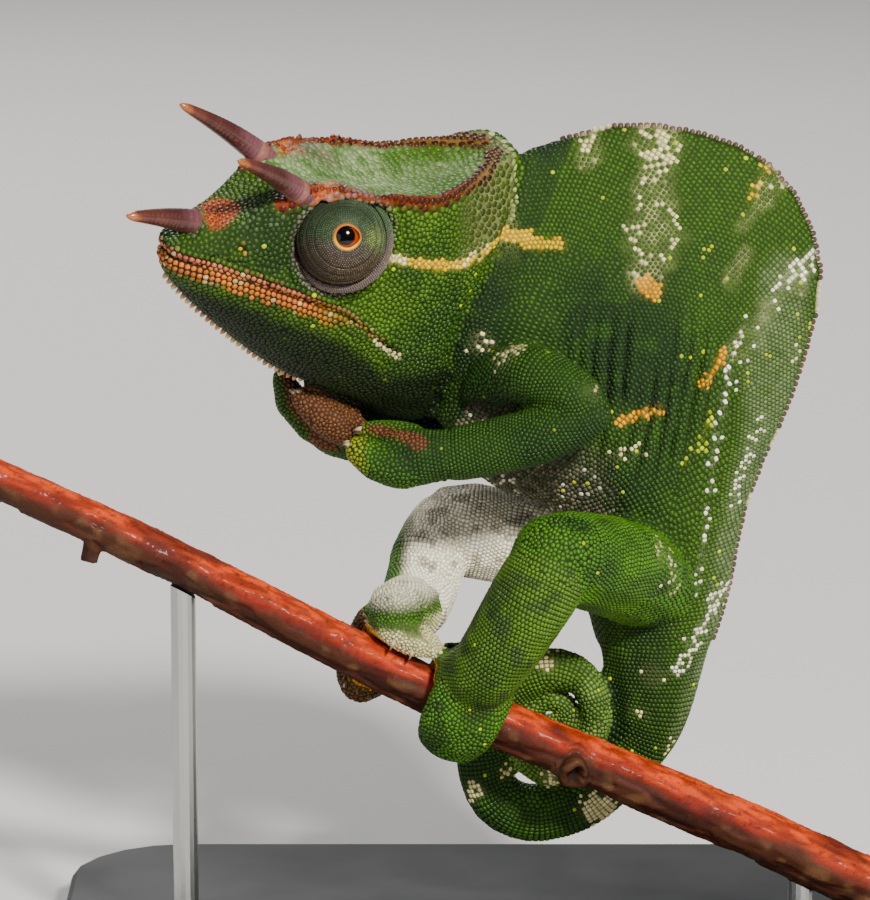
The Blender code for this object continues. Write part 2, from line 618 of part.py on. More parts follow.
def main():
    clear_scene()
    materials = {
        "skin_green": make_material("skin_green", (0.06, 0.2, 0.04), 0.5),
        "turret": make_material("turret", (0.12, 0.16, 0.1), 0.45),
        "horn": make_material("horn", (0.18, 0.09, 0.09), 0.3),
        "bark": make_material("bark", (0.3, 0.07, 0.02), 0.5),
        "stand_paint": make_material("stand_paint", (0.03, 0.03, 0.035), 0.4),
        "stand_steel": make_material("stand_steel", (0.55, 0.55, 0.56), 0.3, 1.0),
    }
    raw = build_raw()
    bark = materials["bark"]
    for growth in (stub_bm(), knot_bm()):
        raw["perch_branch"] = join_or_cut("perch_branch", raw["perch_branch"], growth, "UNION", bark)
    for name, bm in raw.items():
        material = materials["skin_green"]
        if name.startswith("horn"):
            material = materials["horn"]
        if name.startswith("eye"):
            material = materials["turret"]
        if name == "perch_branch":
            material = materials["bark"]
        result = bm.copy()
        for other in CUT_BY.get(name, ()):
            result = join_or_cut(name, result, swollen(raw[other], GAP), "DIFFERENCE", material)
        add_object(name, result, material)
    add_object("stand_base", base_bm(), materials["stand_paint"], smooth=False)
    for name, x in ROD_PLACES.items():
        steel = materials["stand_steel"]
        reach = swollen(raw["perch_branch"], GAP)
        rod = join_or_cut(name, rod_bm(x), reach, "DIFFERENCE", steel)
        add_object(name, rod, steel)
    for bm in raw.values():
        bm.free()


main()
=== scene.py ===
# A three-horned chameleon on a cut branch and a plain stand: skin, scales, eyes, horns, bark and light.
import itertools
import math

import bmesh
import bpy
import numpy as np
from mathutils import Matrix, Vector
from mathutils.bvhtree import BVHTree
from mathutils.kdtree import KDTree


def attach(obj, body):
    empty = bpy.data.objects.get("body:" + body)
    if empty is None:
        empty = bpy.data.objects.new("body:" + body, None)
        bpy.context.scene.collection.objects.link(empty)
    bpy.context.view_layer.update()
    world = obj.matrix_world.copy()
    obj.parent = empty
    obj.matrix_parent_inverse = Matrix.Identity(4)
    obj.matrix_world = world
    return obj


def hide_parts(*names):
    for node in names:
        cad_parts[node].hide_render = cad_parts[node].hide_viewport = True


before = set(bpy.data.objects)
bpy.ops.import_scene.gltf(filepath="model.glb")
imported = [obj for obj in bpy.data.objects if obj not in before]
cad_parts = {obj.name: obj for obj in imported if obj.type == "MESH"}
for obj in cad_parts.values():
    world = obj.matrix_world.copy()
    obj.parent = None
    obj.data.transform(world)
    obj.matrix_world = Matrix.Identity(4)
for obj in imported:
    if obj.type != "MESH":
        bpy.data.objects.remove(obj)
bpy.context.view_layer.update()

mm = 0.001
dice = np.random.default_rng(11)


def toLinear(hexColour):
    values = np.array([int(hexColour[i:i + 2], 16) for i in (0, 2, 4)]) / 255
    return np.where(values <= 0.04045, values / 12.92, ((values + 0.055) / 1.055) ** 2.4)


def addNode(tree, kind, settings=None, links=None):
    # settings go to the node's fields or, by name or number, to its inputs; links feed its inputs
    node = tree.nodes.new(kind)
    for key, value in (settings or {}).items():
        if isinstance(key, str) and hasattr(node, key):
            setattr(node, key, value)
        else:
            node.inputs[key].default_value = value
    for key, source in (links or {}).items():
        tree.links.new(source, node.inputs[key])
    return node


def newMaterial(name, settings):
    material = bpy.data.materials.new(name)
    material.use_nodes = True
    shader = material.node_tree.nodes["Principled BSDF"]
    for key, value in settings.items():
        shader.inputs[key].default_value = value
    return material, material.node_tree, shader


def colourOf(hexColour):
    return (*toLinear(hexColour), 1.0)


def smoothStep(low, high, value):
    share = np.clip((value - low) / (high - low), 0, 1)
    return share * share * (3 - 2 * share)


def hump(value, wide):
    # 1 where value is 0, falling away over wide
    return np.exp(-(value / wide) ** 2)


def cloud(points, size, seed=0):
    # soft noise from 0 to 1, its lumps about size millimetres wide
    place = points / size + seed * 17.3
    cell = np.floor(place).astype(np.int64)
    part = place - cell
    part = part * part * (3 - 2 * part)
    total = np.zeros(len(points))
    for corner in itertools.product((0, 1), repeat=3):
        at = cell + np.array(corner)
        key = (at[:, 0] * 73856093) ^ (at[:, 1] * 19349663) ^ (at[:, 2] * 83492791) ^ (seed * 8191 + 77)
        key = ((key ^ (key >> 13)) * 1274126177) & 0x7fffffff
        key = ((key ^ (key >> 11)) * 668265263) & 0x7fffffff
        weight = np.prod(np.where(np.array(corner) == 1, part, 1 - part), axis=1)
        total += weight * (key / 0x7fffffff)
    return total


def nearPath(points, path):
    # distance to a bent line and the share of its length at the nearest place
    path = np.array(path, float)
    best = np.full(len(points), 1e9)
    share = np.zeros(len(points))
    lengths = np.linalg.norm(np.diff(path, axis=0), axis=1)
    total = lengths.sum()
    walked = 0.0
    for start, end, length in zip(path, path[1:], lengths):
        along = np.clip(((points - start) @ (end - start)) / max(length * length, 1e-9), 0, 1)
        gap = np.linalg.norm(points - (start + along[:, None] * (end - start)), axis=1)
        closer = gap < best
        best = np.where(closer, gap, best)
        share = np.where(closer, (walked + along * length) / total, share)
        walked += length
    return best, share


def smoothPath(keys, place):
    # a smooth line through keys, read at places 0 to len - 1
    keys = np.array(keys, float)
    place = np.clip(np.atleast_1d(np.array(place, float)), 0, len(keys) - 1)
    index = np.clip(place.astype(int), 0, len(keys) - 2)
    t = (place - index)[:, None]
    padded = np.vstack([2 * keys[0] - keys[1], keys, 2 * keys[-1] - keys[-2]])
    a, b, c, d = (padded[index + shift] for shift in range(4))
    return 0.5 * (2 * b + (c - a) * t + (2 * a - 5 * b + 4 * c - d) * t ** 2 + (-a + 3 * b - 3 * c + d) * t ** 3)


def wholePath(keys, count):
    # count places from the first key to the last
    return smoothPath(keys, np.linspace(0, len(keys) - 1, count))


def unit(vectors):
    return vectors / np.maximum(np.linalg.norm(vectors, axis=-1, keepdims=True), 1e-12)


def vertexArray(mesh):
    points = np.zeros(len(mesh.vertices) * 3)
    mesh.vertices.foreach_get("co", points)
    return points.reshape(-1, 3) / mm


def addPiece(name, mesh, stoodFor=()):
    piece = bpy.data.objects.new(name, mesh)
    bpy.context.scene.collection.objects.link(piece)
    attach(piece, "root")
    if stoodFor:
        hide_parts(*stoodFor)
    return piece


def meshFromArrays(name, points, quads, tris, colours=None, bakePlace=None):
    # millimetre points, four- and three-cornered faces, a colour and a bake place at each point
    mesh = bpy.data.meshes.new(name)
    mesh.vertices.add(len(points))
    mesh.vertices.foreach_set("co", (np.asarray(points) * mm).ravel())
    corners = np.concatenate([np.asarray(quads, int).ravel(), np.asarray(tris, int).ravel()])
    sizes = np.concatenate([np.full(len(quads), 4), np.full(len(tris), 3)]).astype(int)
    mesh.loops.add(len(corners))
    mesh.loops.foreach_set("vertex_index", corners)
    mesh.polygons.add(len(sizes))
    mesh.polygons.foreach_set("loop_start", np.concatenate([[0], np.cumsum(sizes)[:-1]]))
    mesh.polygons.foreach_set("loop_total", sizes)
    mesh.polygons.foreach_set("use_smooth", np.ones(len(sizes), bool))
    mesh.update(calc_edges=True)
    if colours is not None:
        paintMesh(mesh, colours)
    if bakePlace is not None:
        layer = mesh.uv_layers.new(name="OFBake")
        layer.data.foreach_set("uv", np.asarray(bakePlace)[corners].ravel())
    return mesh


def paintMesh(mesh, colours):
    paint = mesh.color_attributes.new(name="coatColour", type="FLOAT_COLOR", domain="POINT")
    values = np.ones((len(colours), 4))
    values[:, :3] = colours
    paint.data.foreach_set("color", values.ravel())


# The head has its own axes: forward along the snout, left and up. Its lines are read along forward.
headForm = {
    # millimetres; the same lines as the solids follow
    "place": (-12.5, -12.0, 94.0),
    "forward": (-0.85, -0.52, -0.043),
    "left": (0.5, -0.789, -0.343),
    "crest": ((9.5, 4.7, 6.2), (6.5, 5.4, 7.6), (3.0, 6.5, 8.0), (-3.0, 7.5, 6.6), (-10.0, 7.2, 5.0),
              (-15.0, 5.7, 5.7), (-18.5, 3.6, 6.5), (-20.8, 1.4, 7.2)),
    "mouth": ((22.6, -0.8), (21.4, -0.95), (17.0, -1.6), (12.4, -3.3), (8.2, -5.0), (4.0, -6.8), (1.0, -8.1),
              (-2.0, -10.3), (-4.6, -12.6), (-6.6, -14.1)),
    "keel": ((21.0, -4.4), (16.5, -9.2), (10.0, -15.0), (5.0, -18.9), (-3.0, -23.9), (-9.0, -27.5),
             (-13.0, -29.8), (-17.0, -31.0)),
    "eye": (1.8, 5.8, 0.75),
    "nostril": (14.6, 5.2, 0.9),
    "collar": 2.2,
    "rostralHorn": ((14.4, 0.0, 0.9), (27.1, 0.0, 4.4), 1.75),
    "browHorn": ((6.2, 4.3, 6.1), (17.8, 7.0, 13.9), 1.55),
    "hornBow": 0.4,
}
headPlace = np.array(headForm["place"])
headForward = unit(np.array(headForm["forward"]))
headUp = unit(np.cross(headForward, headForm["left"]))
headLeft = np.cross(headUp, headForward)
headAxes = np.array([headForward, headLeft, headUp])

# belly and back are lines of X and Z; the tail and limbs are lines of X, Y and Z.
bodyForm = {
    "belly": ((1.6, 70.1), (3.2, 63.0), (7.5, 59.2), (11.4, 57.9), (14.2, 56.0), (16.5, 51.7), (18.2, 44.9),
              (19.4, 40.3)),
    "back": ((10.3, 100.4), (24.3, 103.6), (39.2, 99.2), (45.9, 87.1), (43.2, 72.0), (37.7, 58.2), (35.5, 47.0),
             (33.6, 40.2)),
    "tail": ((26.5, 0.0, 40.25), (26.3, 0.2, 33.2), (25.1, 1.0, 28.6), (22.3, 1.5, 24.4), (18.6, 1.3, 20.5),
             (14.3, 1.0, 18.8), (10.7, 0.7, 18.8), (7.5, 0.3, 20.7), (5.8, -0.1, 24.9), (5.7, -0.4, 29.5),
             (7.9, -0.8, 34.3), (13.6, -1.2, 37.1), (17.9, -1.5, 36.0), (19.5, -1.7, 32.2), (18.9, -1.6, 28.2),
             (16.9, -1.3, 25.9), (13.9, -1.0, 24.2), (11.0, -0.8, 25.9), (10.2, -0.6, 29.4), (11.6, -0.5, 32.2),
             (14.4, -0.5, 33.4), (16.5, -0.4, 31.2), (15.0, -0.3, 28.0), (13.0, -0.3, 29.5), (14.3, -0.3, 30.6)),
    "limbs": {
        "armLeft": ((5.6, -3.0, 73.0), (11.0, -10.4, 75.4), (16.4, -14.2, 73.2)),
        "forearmLeft": ((18.2, -14.4, 71.9), (13.0, -14.0, 69.0), (7.4, -12.8, 67.2), (-1.5, -11.7, 65.8)),
        "armRight": ((3.6, 3.0, 69.9), (10.5, 9.6, 66.6), (13.6, 12.0, 63.4)),
        "forearmRight": ((14.2, 12.0, 62.8), (6.0, 8.6, 62.4), (-2.0, 4.2, 63.6), (-11.0, -1.3, 66.3)),
        "thighLeft": ((26.4, -1.5, 47.6), (21.3, -9.6, 51.8), (14.6, -16.3, 54.8)),
        "shinLeft": ((13.6, -17.2, 54.6), (10.8, -18.0, 49.2), (7.7, -16.6, 43.6), (3.9, -11.9, 38.4)),
        "thighRight": ((24.0, 2.0, 48.6), (13.0, 8.6, 50.4), (3.8, 9.2, 52.1)),
        "shinRight": ((1.9, 8.6, 53.6), (-0.5, 5.0, 50.0), (-1.6, 1.6, 46.9), (-4.6, -6.8, 45.1)),
    },
}

branchForm = {
    "left": (-57.9, -8.5, 64.8),
    "right": (57.3, -8.5, 9.1),
    "radii": (2.35, 3.45),
    "bow": 0.55,
    "knotAlong": 0.647,
}


def toHead(points):
    return (points - headPlace) @ headAxes.T


def fromHead(local):
    return np.asarray(local) @ headAxes + headPlace


def mouthHeight(forward):
    keys = np.array(headForm["mouth"])[::-1]
    return np.interp(forward, keys[:, 0], keys[:, 1])


branchForward = unit(np.array(branchForm["right"]) - np.array(branchForm["left"]))


def branchPath(share):
    share = np.atleast_1d(share)
    start, end = np.array(branchForm["left"]), np.array(branchForm["right"])
    centre = start + share[:, None] * (end - start)
    centre[:, 2] += branchForm["bow"] * np.sin(share * 9.0)
    centre[:, 1] += branchForm["bow"] * np.sin(share * 7.0 + 1.0)
    return centre, branchForm["radii"][0] + (branchForm["radii"][1] - branchForm["radii"][0]) * share


def tailPath(step):
    # evenly spaced points down the tail and round its coil
    fine = wholePath(bodyForm["tail"], 1500)
    walked = np.concatenate([[0], np.cumsum(np.linalg.norm(np.diff(fine, axis=0), axis=1))])
    even = np.arange(0, walked[-1], step)
    return np.stack([np.interp(even, walked, fine[:, axis]) for axis in range(3)], axis=1)


skinMake = {
    "swell": 0.19,          # closes the gaps between the solids
    "grain": 0.47,          # size of the new mesh's faces
    "under": 0.14,          # how far the skin lies below the solids, which is the scales' depth
    "smoothRounds": 34,
    "coilSunk": -0.06,      # the coil's skin is hardly sunk, so that its turns stay close together
    "sunkSpread": 12,       # rounds that soften the step between the two depths
    "chestPush": 2.4,       # how far the chest comes forward between the arms
}
keptNames = ("eye_", "horn_", "perch_", "stand_")
fleshNames = sorted(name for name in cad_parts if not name.startswith(keptNames))


def mergedCopy(name):
    bm = bmesh.new()
    bm.from_mesh(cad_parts[name].data)
    bmesh.ops.remove_doubles(bm, verts=bm.verts, dist=1e-6)
    bmesh.ops.recalc_face_normals(bm, faces=bm.faces)
    bm.normal_update()
    return bm


def remeshed(bm, name, grain):
    mesh = bpy.data.meshes.new(name + "Raw")
    bm.to_mesh(mesh)
    bm.free()
    maker = bpy.data.objects.new(name + "Raw", mesh)
    bpy.context.scene.collection.objects.link(maker)
    modifier = maker.modifiers.new("remesh", "REMESH")
    modifier.mode = "VOXEL"
    modifier.voxel_size = grain * mm
    made = bpy.data.meshes.new_from_object(maker.evaluated_get(bpy.context.evaluated_depsgraph_get()))
    bpy.data.objects.remove(maker)
    bpy.data.meshes.remove(mesh)
    made.name = name
    return made


def largestOnly(mesh):
    # drops closed pockets left inside by the remesh
    bm = bmesh.new()
    bm.from_mesh(mesh)
    left = set(bm.verts)
    islands = []
    while left:
        stack = [left.pop()]
        island = list(stack)
        while stack:
            for edge in stack.pop().link_edges:
                for vert in edge.verts:
                    if vert in left:
                        left.discard(vert)
                        island.append(vert)
                        stack.append(vert)
        islands.append(island)
    islands.sort(key=len)
    for island in islands[:-1]:
        bmesh.ops.delete(bm, geom=island, context="VERTS")
    bm.to_mesh(mesh)
    bm.free()


class Surface:
    # a mesh held as arrays while it is shaped
    def __init__(self, mesh):
        self.mesh = mesh
        self.points = vertexArray(mesh)
        edges = np.zeros(len(mesh.edges) * 2, int)
        mesh.edges.foreach_get("vertices", edges)
        self.edges = edges.reshape(-1, 2)
        self.ends = np.concatenate([self.edges[:, 0], self.edges[:, 1]])
        self.others = np.concatenate([self.edges[:, 1], self.edges[:, 0]])
        self.links = np.bincount(self.ends, minlength=len(self.points))

    def around(self, values):
        columns = [np.bincount(self.ends, values[self.others, k], len(self.points)) for k in range(values.shape[1])]
        return np.stack(columns, axis=1) / self.links[:, None]

    def smooth(self, rounds, weight=1.0, keepSize=True):
        weight = np.broadcast_to(np.atleast_1d(weight), (len(self.points),))[:, None]
        for turn in range(rounds):
            self.points += 0.6 * weight * (self.around(self.points) - self.points)
            if keepSize:
                self.points -= 0.635 * weight * (self.around(self.points) - self.points)

    def write(self):
        self.mesh.vertices.foreach_set("co", (self.points * mm).ravel())
        self.mesh.update()

    def normals(self):
        self.write()
        values = np.zeros(len(self.points) * 3)
        self.mesh.vertex_normals.foreach_get("vector", values)
        return values.reshape(-1, 3)


# The flesh solids, swollen until they meet, are remeshed into one skin. The solids as they are tell
# which of them each place on the skin belongs to.
allFlesh = bmesh.new()
labelPoints, labelFaces, labelOwners = [], [], []
for name in fleshNames:
    part = mergedCopy(name)
    base = len(labelPoints)
    part.verts.ensure_lookup_table()
    labelPoints += [vert.co / mm for vert in part.verts]
    labelFaces += [[base + vert.index for vert in face.verts] for face in part.faces]
    labelOwners += [name] * len(part.faces)
    moves = [vert.normal * (skinMake["swell"] * mm) for vert in part.verts]
    for vert, move in zip(part.verts, moves):
        vert.co += move
    swollen = bpy.data.meshes.new("swollen")
    part.to_mesh(swollen)
    part.free()
    allFlesh.from_mesh(swollen)
    bpy.data.meshes.remove(swollen)
labelTree = BVHTree.FromPolygons(labelPoints, labelFaces)
labelOwners = np.array(labelOwners)
skinMesh = remeshed(allFlesh, "skin", skinMake["grain"])
largestOnly(skinMesh)
skin = Surface(skinMesh)
print("skin remeshed:", len(skin.points), "points")


def ownersOf(points):
    # the name of the solid nearest to each point
    found = [labelTree.find_nearest(Vector(point))[2] for point in points]
    return labelOwners[found]


headNames, trunkNames, coilNames = ("head", "lower_jaw"), ("trunk", "pelvis", "tail_1"), ("tail_4", "tail_5")
skin.smooth(skinMake["smoothRounds"])
skinOwner = ownersOf(skin.points)
sunk = np.where(np.isin(skinOwner, coilNames), skinMake["coilSunk"], skinMake["swell"] + skinMake["under"])
for turn in range(skinMake["sunkSpread"]):
    sunk = skin.around(sunk[:, None])[:, 0]
skin.points -= skin.normals() * sunk[:, None]
chest = skinMake["chestPush"] * np.exp(-((skin.points[:, 2] - 68.3) / 1.8) ** 2 - (skin.points[:, 1] / 4.5) ** 2)
skin.points[:, 0] -= chest * smoothStep(7.0, 4.0, skin.points[:, 0]) * np.isin(skinOwner, ("trunk", "neck"))
skinOwner = ownersOf(skin.points)
onHead = np.isin(skinOwner, headNames)


def shapeHead():
    # mouth slit, lips, fold round each eye, crests, nostrils and the edge of the casque
    near = onHead | (skinOwner == "neck")
    local = toHead(skin.points)
    normal = skin.normals()
    forward, side, height = local[:, 0], np.abs(local[:, 1]), local[:, 2]
    push = np.zeros(len(local))
    slit = height - mouthHeight(forward)
    inMouth = smoothStep(-7.4, -6.2, forward)
    corner = smoothStep(-2.5, -5.5, forward)
    push -= (0.5 + 0.35 * corner) * hump(slit, 0.24 + 0.12 * corner) * inMouth
    push += 0.2 * hump(np.abs(slit) - 1.0, 0.55) * inMouth
    eye = np.array(headForm["eye"])
    ring = np.hypot(forward - eye[0], height - eye[2])
    upSide = smoothStep(2.5, 5.0, side)
    push += upSide * (0.5 * hump(ring - 6.7, 0.4) - 0.25 * hump(ring - 7.45, 0.3))
    push -= upSide * 1.9 * (1 - smoothStep(5.1, 6.0, ring))
    crest = wholePath(headForm["crest"], 60)
    mirrored = np.stack([forward, side, height], axis=1)
    gap, _ = nearPath(mirrored, crest)
    hornRoot = np.linalg.norm(mirrored - np.array(headForm["browHorn"][0]), axis=1)
    lowered = 0.85 * smoothStep(3.2, 1.0, gap) * smoothStep(-6.0, 0.0, forward) * smoothStep(1.8, 3.4, hornRoot)
    push += 0.22 * hump(gap, 0.8)
    hollow = hump(side, 3.4) * smoothStep(-21, -15, forward) * smoothStep(9.5, 5.0, forward)
    push -= 0.35 * hollow * (normal @ headUp > 0.5)
    nostril = np.linalg.norm(mirrored - np.array(headForm["nostril"]), axis=1)
    push -= 0.7 * hump(nostril, 0.5)
    push += 0.3 * hump(nostril - 1.1, 0.35)
    skin.points += normal * (push * near)[:, None]
    # the collar of skin round the snout horn's root, and the crest's lower front
    root, tip = (np.array(end) for end in headForm["rostralHorn"][:2])
    axisHeight = root[2] + (forward - root[0]) * (tip[2] - root[2]) / (tip[0] - root[0])
    cuff = smoothStep(10.4, 12.8, forward) * smoothStep(18.6, 17.2, forward) * (normal @ headUp > -0.1)
    collarTop = axisHeight + np.sqrt(np.clip(headForm["collar"] ** 2 - 0.8 * side ** 2, 0, None)) - 0.3 * side
    skin.points += headUp * (np.clip(collarTop - height, 0, headForm["collar"]) * cuff * onHead)[:, None]
    skin.points -= headUp * (lowered * near * smoothStep(6.0, 7.4, height))[:, None]


# depth cuts the wrinkle grooves; shade darkens them by that share: painted shade in the grooves
flankMake = {"centre": (24.5, 72.5), "reach": 9.5, "spacing": 1.75, "depth": 0.75, "shade": 0.85}


def flankWave(points):
    # upright wrinkles behind the arm: how deep in a groove each point lies, 0 to 1
    flat = points[:, [0, 2]]
    across, up = ((flat - np.array(flankMake["centre"])) / flankMake["reach"]).T
    zone = np.exp(-(across ** 2 + up ** 2) ** 2)
    lean = flat[:, 0] + 0.0045 * (flat[:, 1] - 88) ** 2 + 1.6 * cloud(points * (1.0, 1.0, 0.5), 4.0, 31)
    wave = 0.5 - 0.5 * np.sin(lean * 2 * np.pi / flankMake["spacing"])
    return zone * wave ** 3 * smoothStep(0.15, 0.4, cloud(points * (1.0, 1.0, 0.35), 2.4, 33))


handNames = tuple(name for name in fleshNames if name.startswith(("hand", "forearm")))
foldPairs = (
    # two groups of solids and how deep the crease between them is
    (("head", "lower_jaw"), ("neck", "trunk"), 0.55),
    (("head", "lower_jaw"), handNames + ("upper_arm_left", "upper_arm_right"), 0.7),
    (("upper_arm_left", "upper_arm_right"), ("trunk", "neck"), 0.25),
    (("forearm_left",), ("trunk", "upper_arm_left"), 0.3),
    (("thigh_left", "thigh_right"), ("trunk",), 0.35),
    (("thigh_left", "thigh_right"), ("pelvis",), 0.12),
    (("shin_left",), ("trunk",), 0.4),
    (("hand_left", "hand_left_inner_toes", "hand_left_outer_toes"),
     ("hand_right", "hand_right_inner_toes", "hand_right_outer_toes"), 0.7),
    (("hand_left_inner_toes",), ("hand_left_outer_toes",), 0.5),
    (("hand_right_inner_toes",), ("hand_right_outer_toes",), 0.5),
    (("foot_left_inner_toes",), ("foot_left_outer_toes",), 0.5),
    (("foot_right_inner_toes",), ("foot_right_outer_toes",), 0.5),
)
flankFolds = (
    # a line of X and Z, its half width and depth
    (((31.6, 79.0), (31.2, 72.0), (30.2, 64.5), (28.4, 59.5)), 0.55, 0.55),
    (((33.6, 74.0), (32.6, 67.5), (30.6, 61.0)), 0.5, 0.4),
    (((29.3, 77.5), (28.9, 70.0), (27.6, 63.0)), 0.45, 0.3),
    (((26.8, 76.0), (26.7, 69.0), (25.9, 63.5)), 0.4, 0.2),
    (((14.0, 84.0), (15.5, 77.0), (18.5, 73.0)), 0.6, 0.18),
)


def shapeFolds():
    # creases where one part folds against the next, skin wrinkles on the flank, rings at the wrist
    normal = skin.normals()
    edge = np.zeros(len(skinOwner))
    for first, second, depth in foldPairs:
        one, two = np.isin(skinOwner, first), np.isin(skinOwner, second)
        across = (one[skin.ends] & two[skin.others]) | (two[skin.ends] & one[skin.others])
        seam = np.zeros(len(skinOwner))
        seam[skin.ends[across]] = 1.0
        for turn in range(3):
            seam *= 0.999
            seam = np.maximum(seam, skin.around(seam[:, None])[:, 0])
        edge = np.maximum(edge, seam * depth)
    skin.points -= normal * edge[:, None]
    push = np.zeros(len(skinOwner))
    for path, half, depth in flankFolds:
        gap, share = nearPath(skin.points[:, [0, 2]], path)
        push -= depth * hump(gap, half) * np.sin(np.pi * np.clip(share, 0.04, 0.96)) ** 0.5
    push -= flankMake["depth"] * flankWave(skin.points)
    skin.points += normal * (push * np.isin(skinOwner, ("trunk", "pelvis")))[:, None]
    wrist = skin.points[:, 0] - 0.6
    arm = np.isin(skinOwner, ("forearm_left", "hand_left"))
    rings = hump(wrist, 0.22) + hump(wrist - 1.1, 0.22) + 0.7 * hump(wrist + 1.0, 0.2)
    skin.points -= normal * (arm * 0.22 * rings)[:, None]


shapeHead()
shapeFolds()
skin.smooth(1, 0.5)
skin.write()
print("skin shaped")

skinTree = BVHTree.FromPolygons([Vector(p) for p in skin.points], [list(f.vertices) for f in skinMesh.polygons])
skinNormals = skin.normals()
faceCorners = np.array([list(f.vertices)[:4] if len(f.vertices) > 3 else list(f.vertices) + [f.vertices[2]]
                        for f in skinMesh.polygons])


def onSkin(points):
    # nearest places on the skin, with their smooth normals and faces
    placed = np.zeros((len(points), 3))
    face = np.zeros(len(points), int)
    for number, point in enumerate(points):
        where, _, index, _ = skinTree.find_nearest(Vector(point))
        placed[number] = where
        face[number] = index
    corners = faceCorners[face]
    gaps = np.linalg.norm(skin.points[corners] - placed[:, None, :], axis=2)
    weights = 1 / (gaps + 0.02)
    normal = unit((skinNormals[corners] * weights[:, :, None]).sum(axis=1))
    return placed, normal, face


# How far apart scales stand, in millimetres.
coatSize = {
    "trunk": 0.54, "sail": 0.58, "belly": 0.5, "cheek": 0.54, "jaw": 0.55, "neck": 0.54, "casque": 0.7,
    "occiput": 0.85, "crest": 0.8, "snout": 0.58, "limb": 0.51, "toes": 0.48, "fist": 0.4, "tail": 0.52,
    "coil": 0.45,
}


def fanPlace(points):
    # where a trunk point lies: 0 at the shoulder to 7 at the tail, and its share from belly to back
    places = np.linspace(0, 7, 141)
    low = smoothPath(bodyForm["belly"], places)
    high = smoothPath(bodyForm["back"], places)
    flat = points[:, [0, 2]]
    best = np.full(len(points), 1e9)
    along = np.zeros(len(points))
    share = np.zeros(len(points))
    for place, start, end in zip(places, low, high):
        span = end - start
        t = np.clip(((flat - start) @ span) / (span @ span), -0.1, 1.1)
        gap = np.linalg.norm(flat - (start + t[:, None] * span), axis=1)
        closer = gap < best
        best = np.where(closer, gap, best)
        along = np.where(closer, place, along)
        share = np.where(closer, t, share)
    return along, share


def casqueTop(local):
    # the flat roof between the crests
    forward, side, height = local[:, 0], np.abs(local[:, 1]), local[:, 2]
    wide = np.interp(forward, (-22, -20, -15, -10, -3, 3, 8), (0.4, 2.0, 5.2, 6.7, 7.0, 5.9, 4.9))
    return (height > 2.6) & (forward < 9.0) & (forward > -21.5) & (side < wide)


def snoutTop(local):
    # the slope from the crests to the snout
    forward, height = local[:, 0], local[:, 2]
    return (forward > 6) & (height > np.interp(forward, (6, 12, 18, 22), (4.5, 3.0, 1.6, 0.4)))


def spacingAt(owner, local, share):
    size = np.full(len(owner), coatSize["limb"])
    trunk = np.isin(owner, trunkNames)
    size[trunk] = coatSize["trunk"]
    size = np.where(trunk & (share > 0.6), coatSize["sail"], size)
    size = np.where(trunk & (share < 0.12), coatSize["belly"], size)
    head = np.isin(owner, headNames)
    forward, side, height = local[:, 0], np.abs(local[:, 1]), local[:, 2]
    crestGap, _ = nearPath(np.stack([forward, side, height], axis=1), wholePath(headForm["crest"], 40))
    for chosen, name in ((owner == "neck", "neck"),
                         (np.isin(owner, ("tail_2", "tail_3")), "tail"),
                         (np.isin(owner, coilNames), "coil"),
                         (np.char.endswith(owner, "toes"), "toes"),
                         (np.isin(owner, ("foot_right", "foot_right_inner_toes")), "fist"),
                         (head, "cheek"),
                         (owner == "lower_jaw", "jaw"),
                         ((owner == "head") & (forward > 9), "snout"),
                         (head & (forward < -15.0) & (height > -1.5), "occiput"),
                         (head & casqueTop(local), "casque"),
                         (head & (crestGap < 1.9), "crest")):
        size[chosen] = coatSize[name]
    return size


class Seeds:
    # the scales placed so far, kept in a grid of cells so that no two share a spot
    cellSize = 1.3

    def __init__(self):
        self.grid = {}
        self.points, self.normals, self.sizes, self.fixed, self.kinds = [], [], [], [], []

    def tryAdd(self, point, normal, size, close=0.8, fixed=False, kind="plain"):
        home = tuple(int(value // self.cellSize) for value in point)
        for dx, dy, dz in itertools.product((-1, 0, 1), repeat=3):
            for other in self.grid.get((home[0] + dx, home[1] + dy, home[2] + dz), ()):
                there, facing = self.points[other], self.normals[other]
                need = close * 0.5 * (size + self.sizes[other])
                ax, ay, az = there[0] - point[0], there[1] - point[1], there[2] - point[2]
                if ax * ax + ay * ay + az * az < need * need and \
                        facing[0] * normal[0] + facing[1] * normal[1] + facing[2] * normal[2] > 0.1:
                    return False
        self.grid.setdefault(home, []).append(len(self.points))
        self.points.append(tuple(point))
        self.normals.append(tuple(normal))
        self.sizes.append(size)
        self.fixed.append(fixed)
        self.kinds.append(kind)
        return True


seeds = Seeds()


def addFeature(points, size, kind, close=0.6):
    # scales of one row that keep their places when the others settle
    placed, normal, _ = onSkin(np.array(points))
    for point, upward in zip(placed, normal):
        seeds.tryAdd(point, upward, size, close, True, kind)


def evenly(path, step):
    # the same line in equal steps
    path = np.array(path)
    walked = np.concatenate([[0], np.cumsum(np.linalg.norm(np.diff(path, axis=0), axis=1))])
    count = max(int(round(walked[-1] / step)), 1)
    even = np.linspace(0, walked[-1], count + 1)
    return np.stack([np.interp(even, walked, path[:, k]) for k in range(path.shape[1])], axis=1)


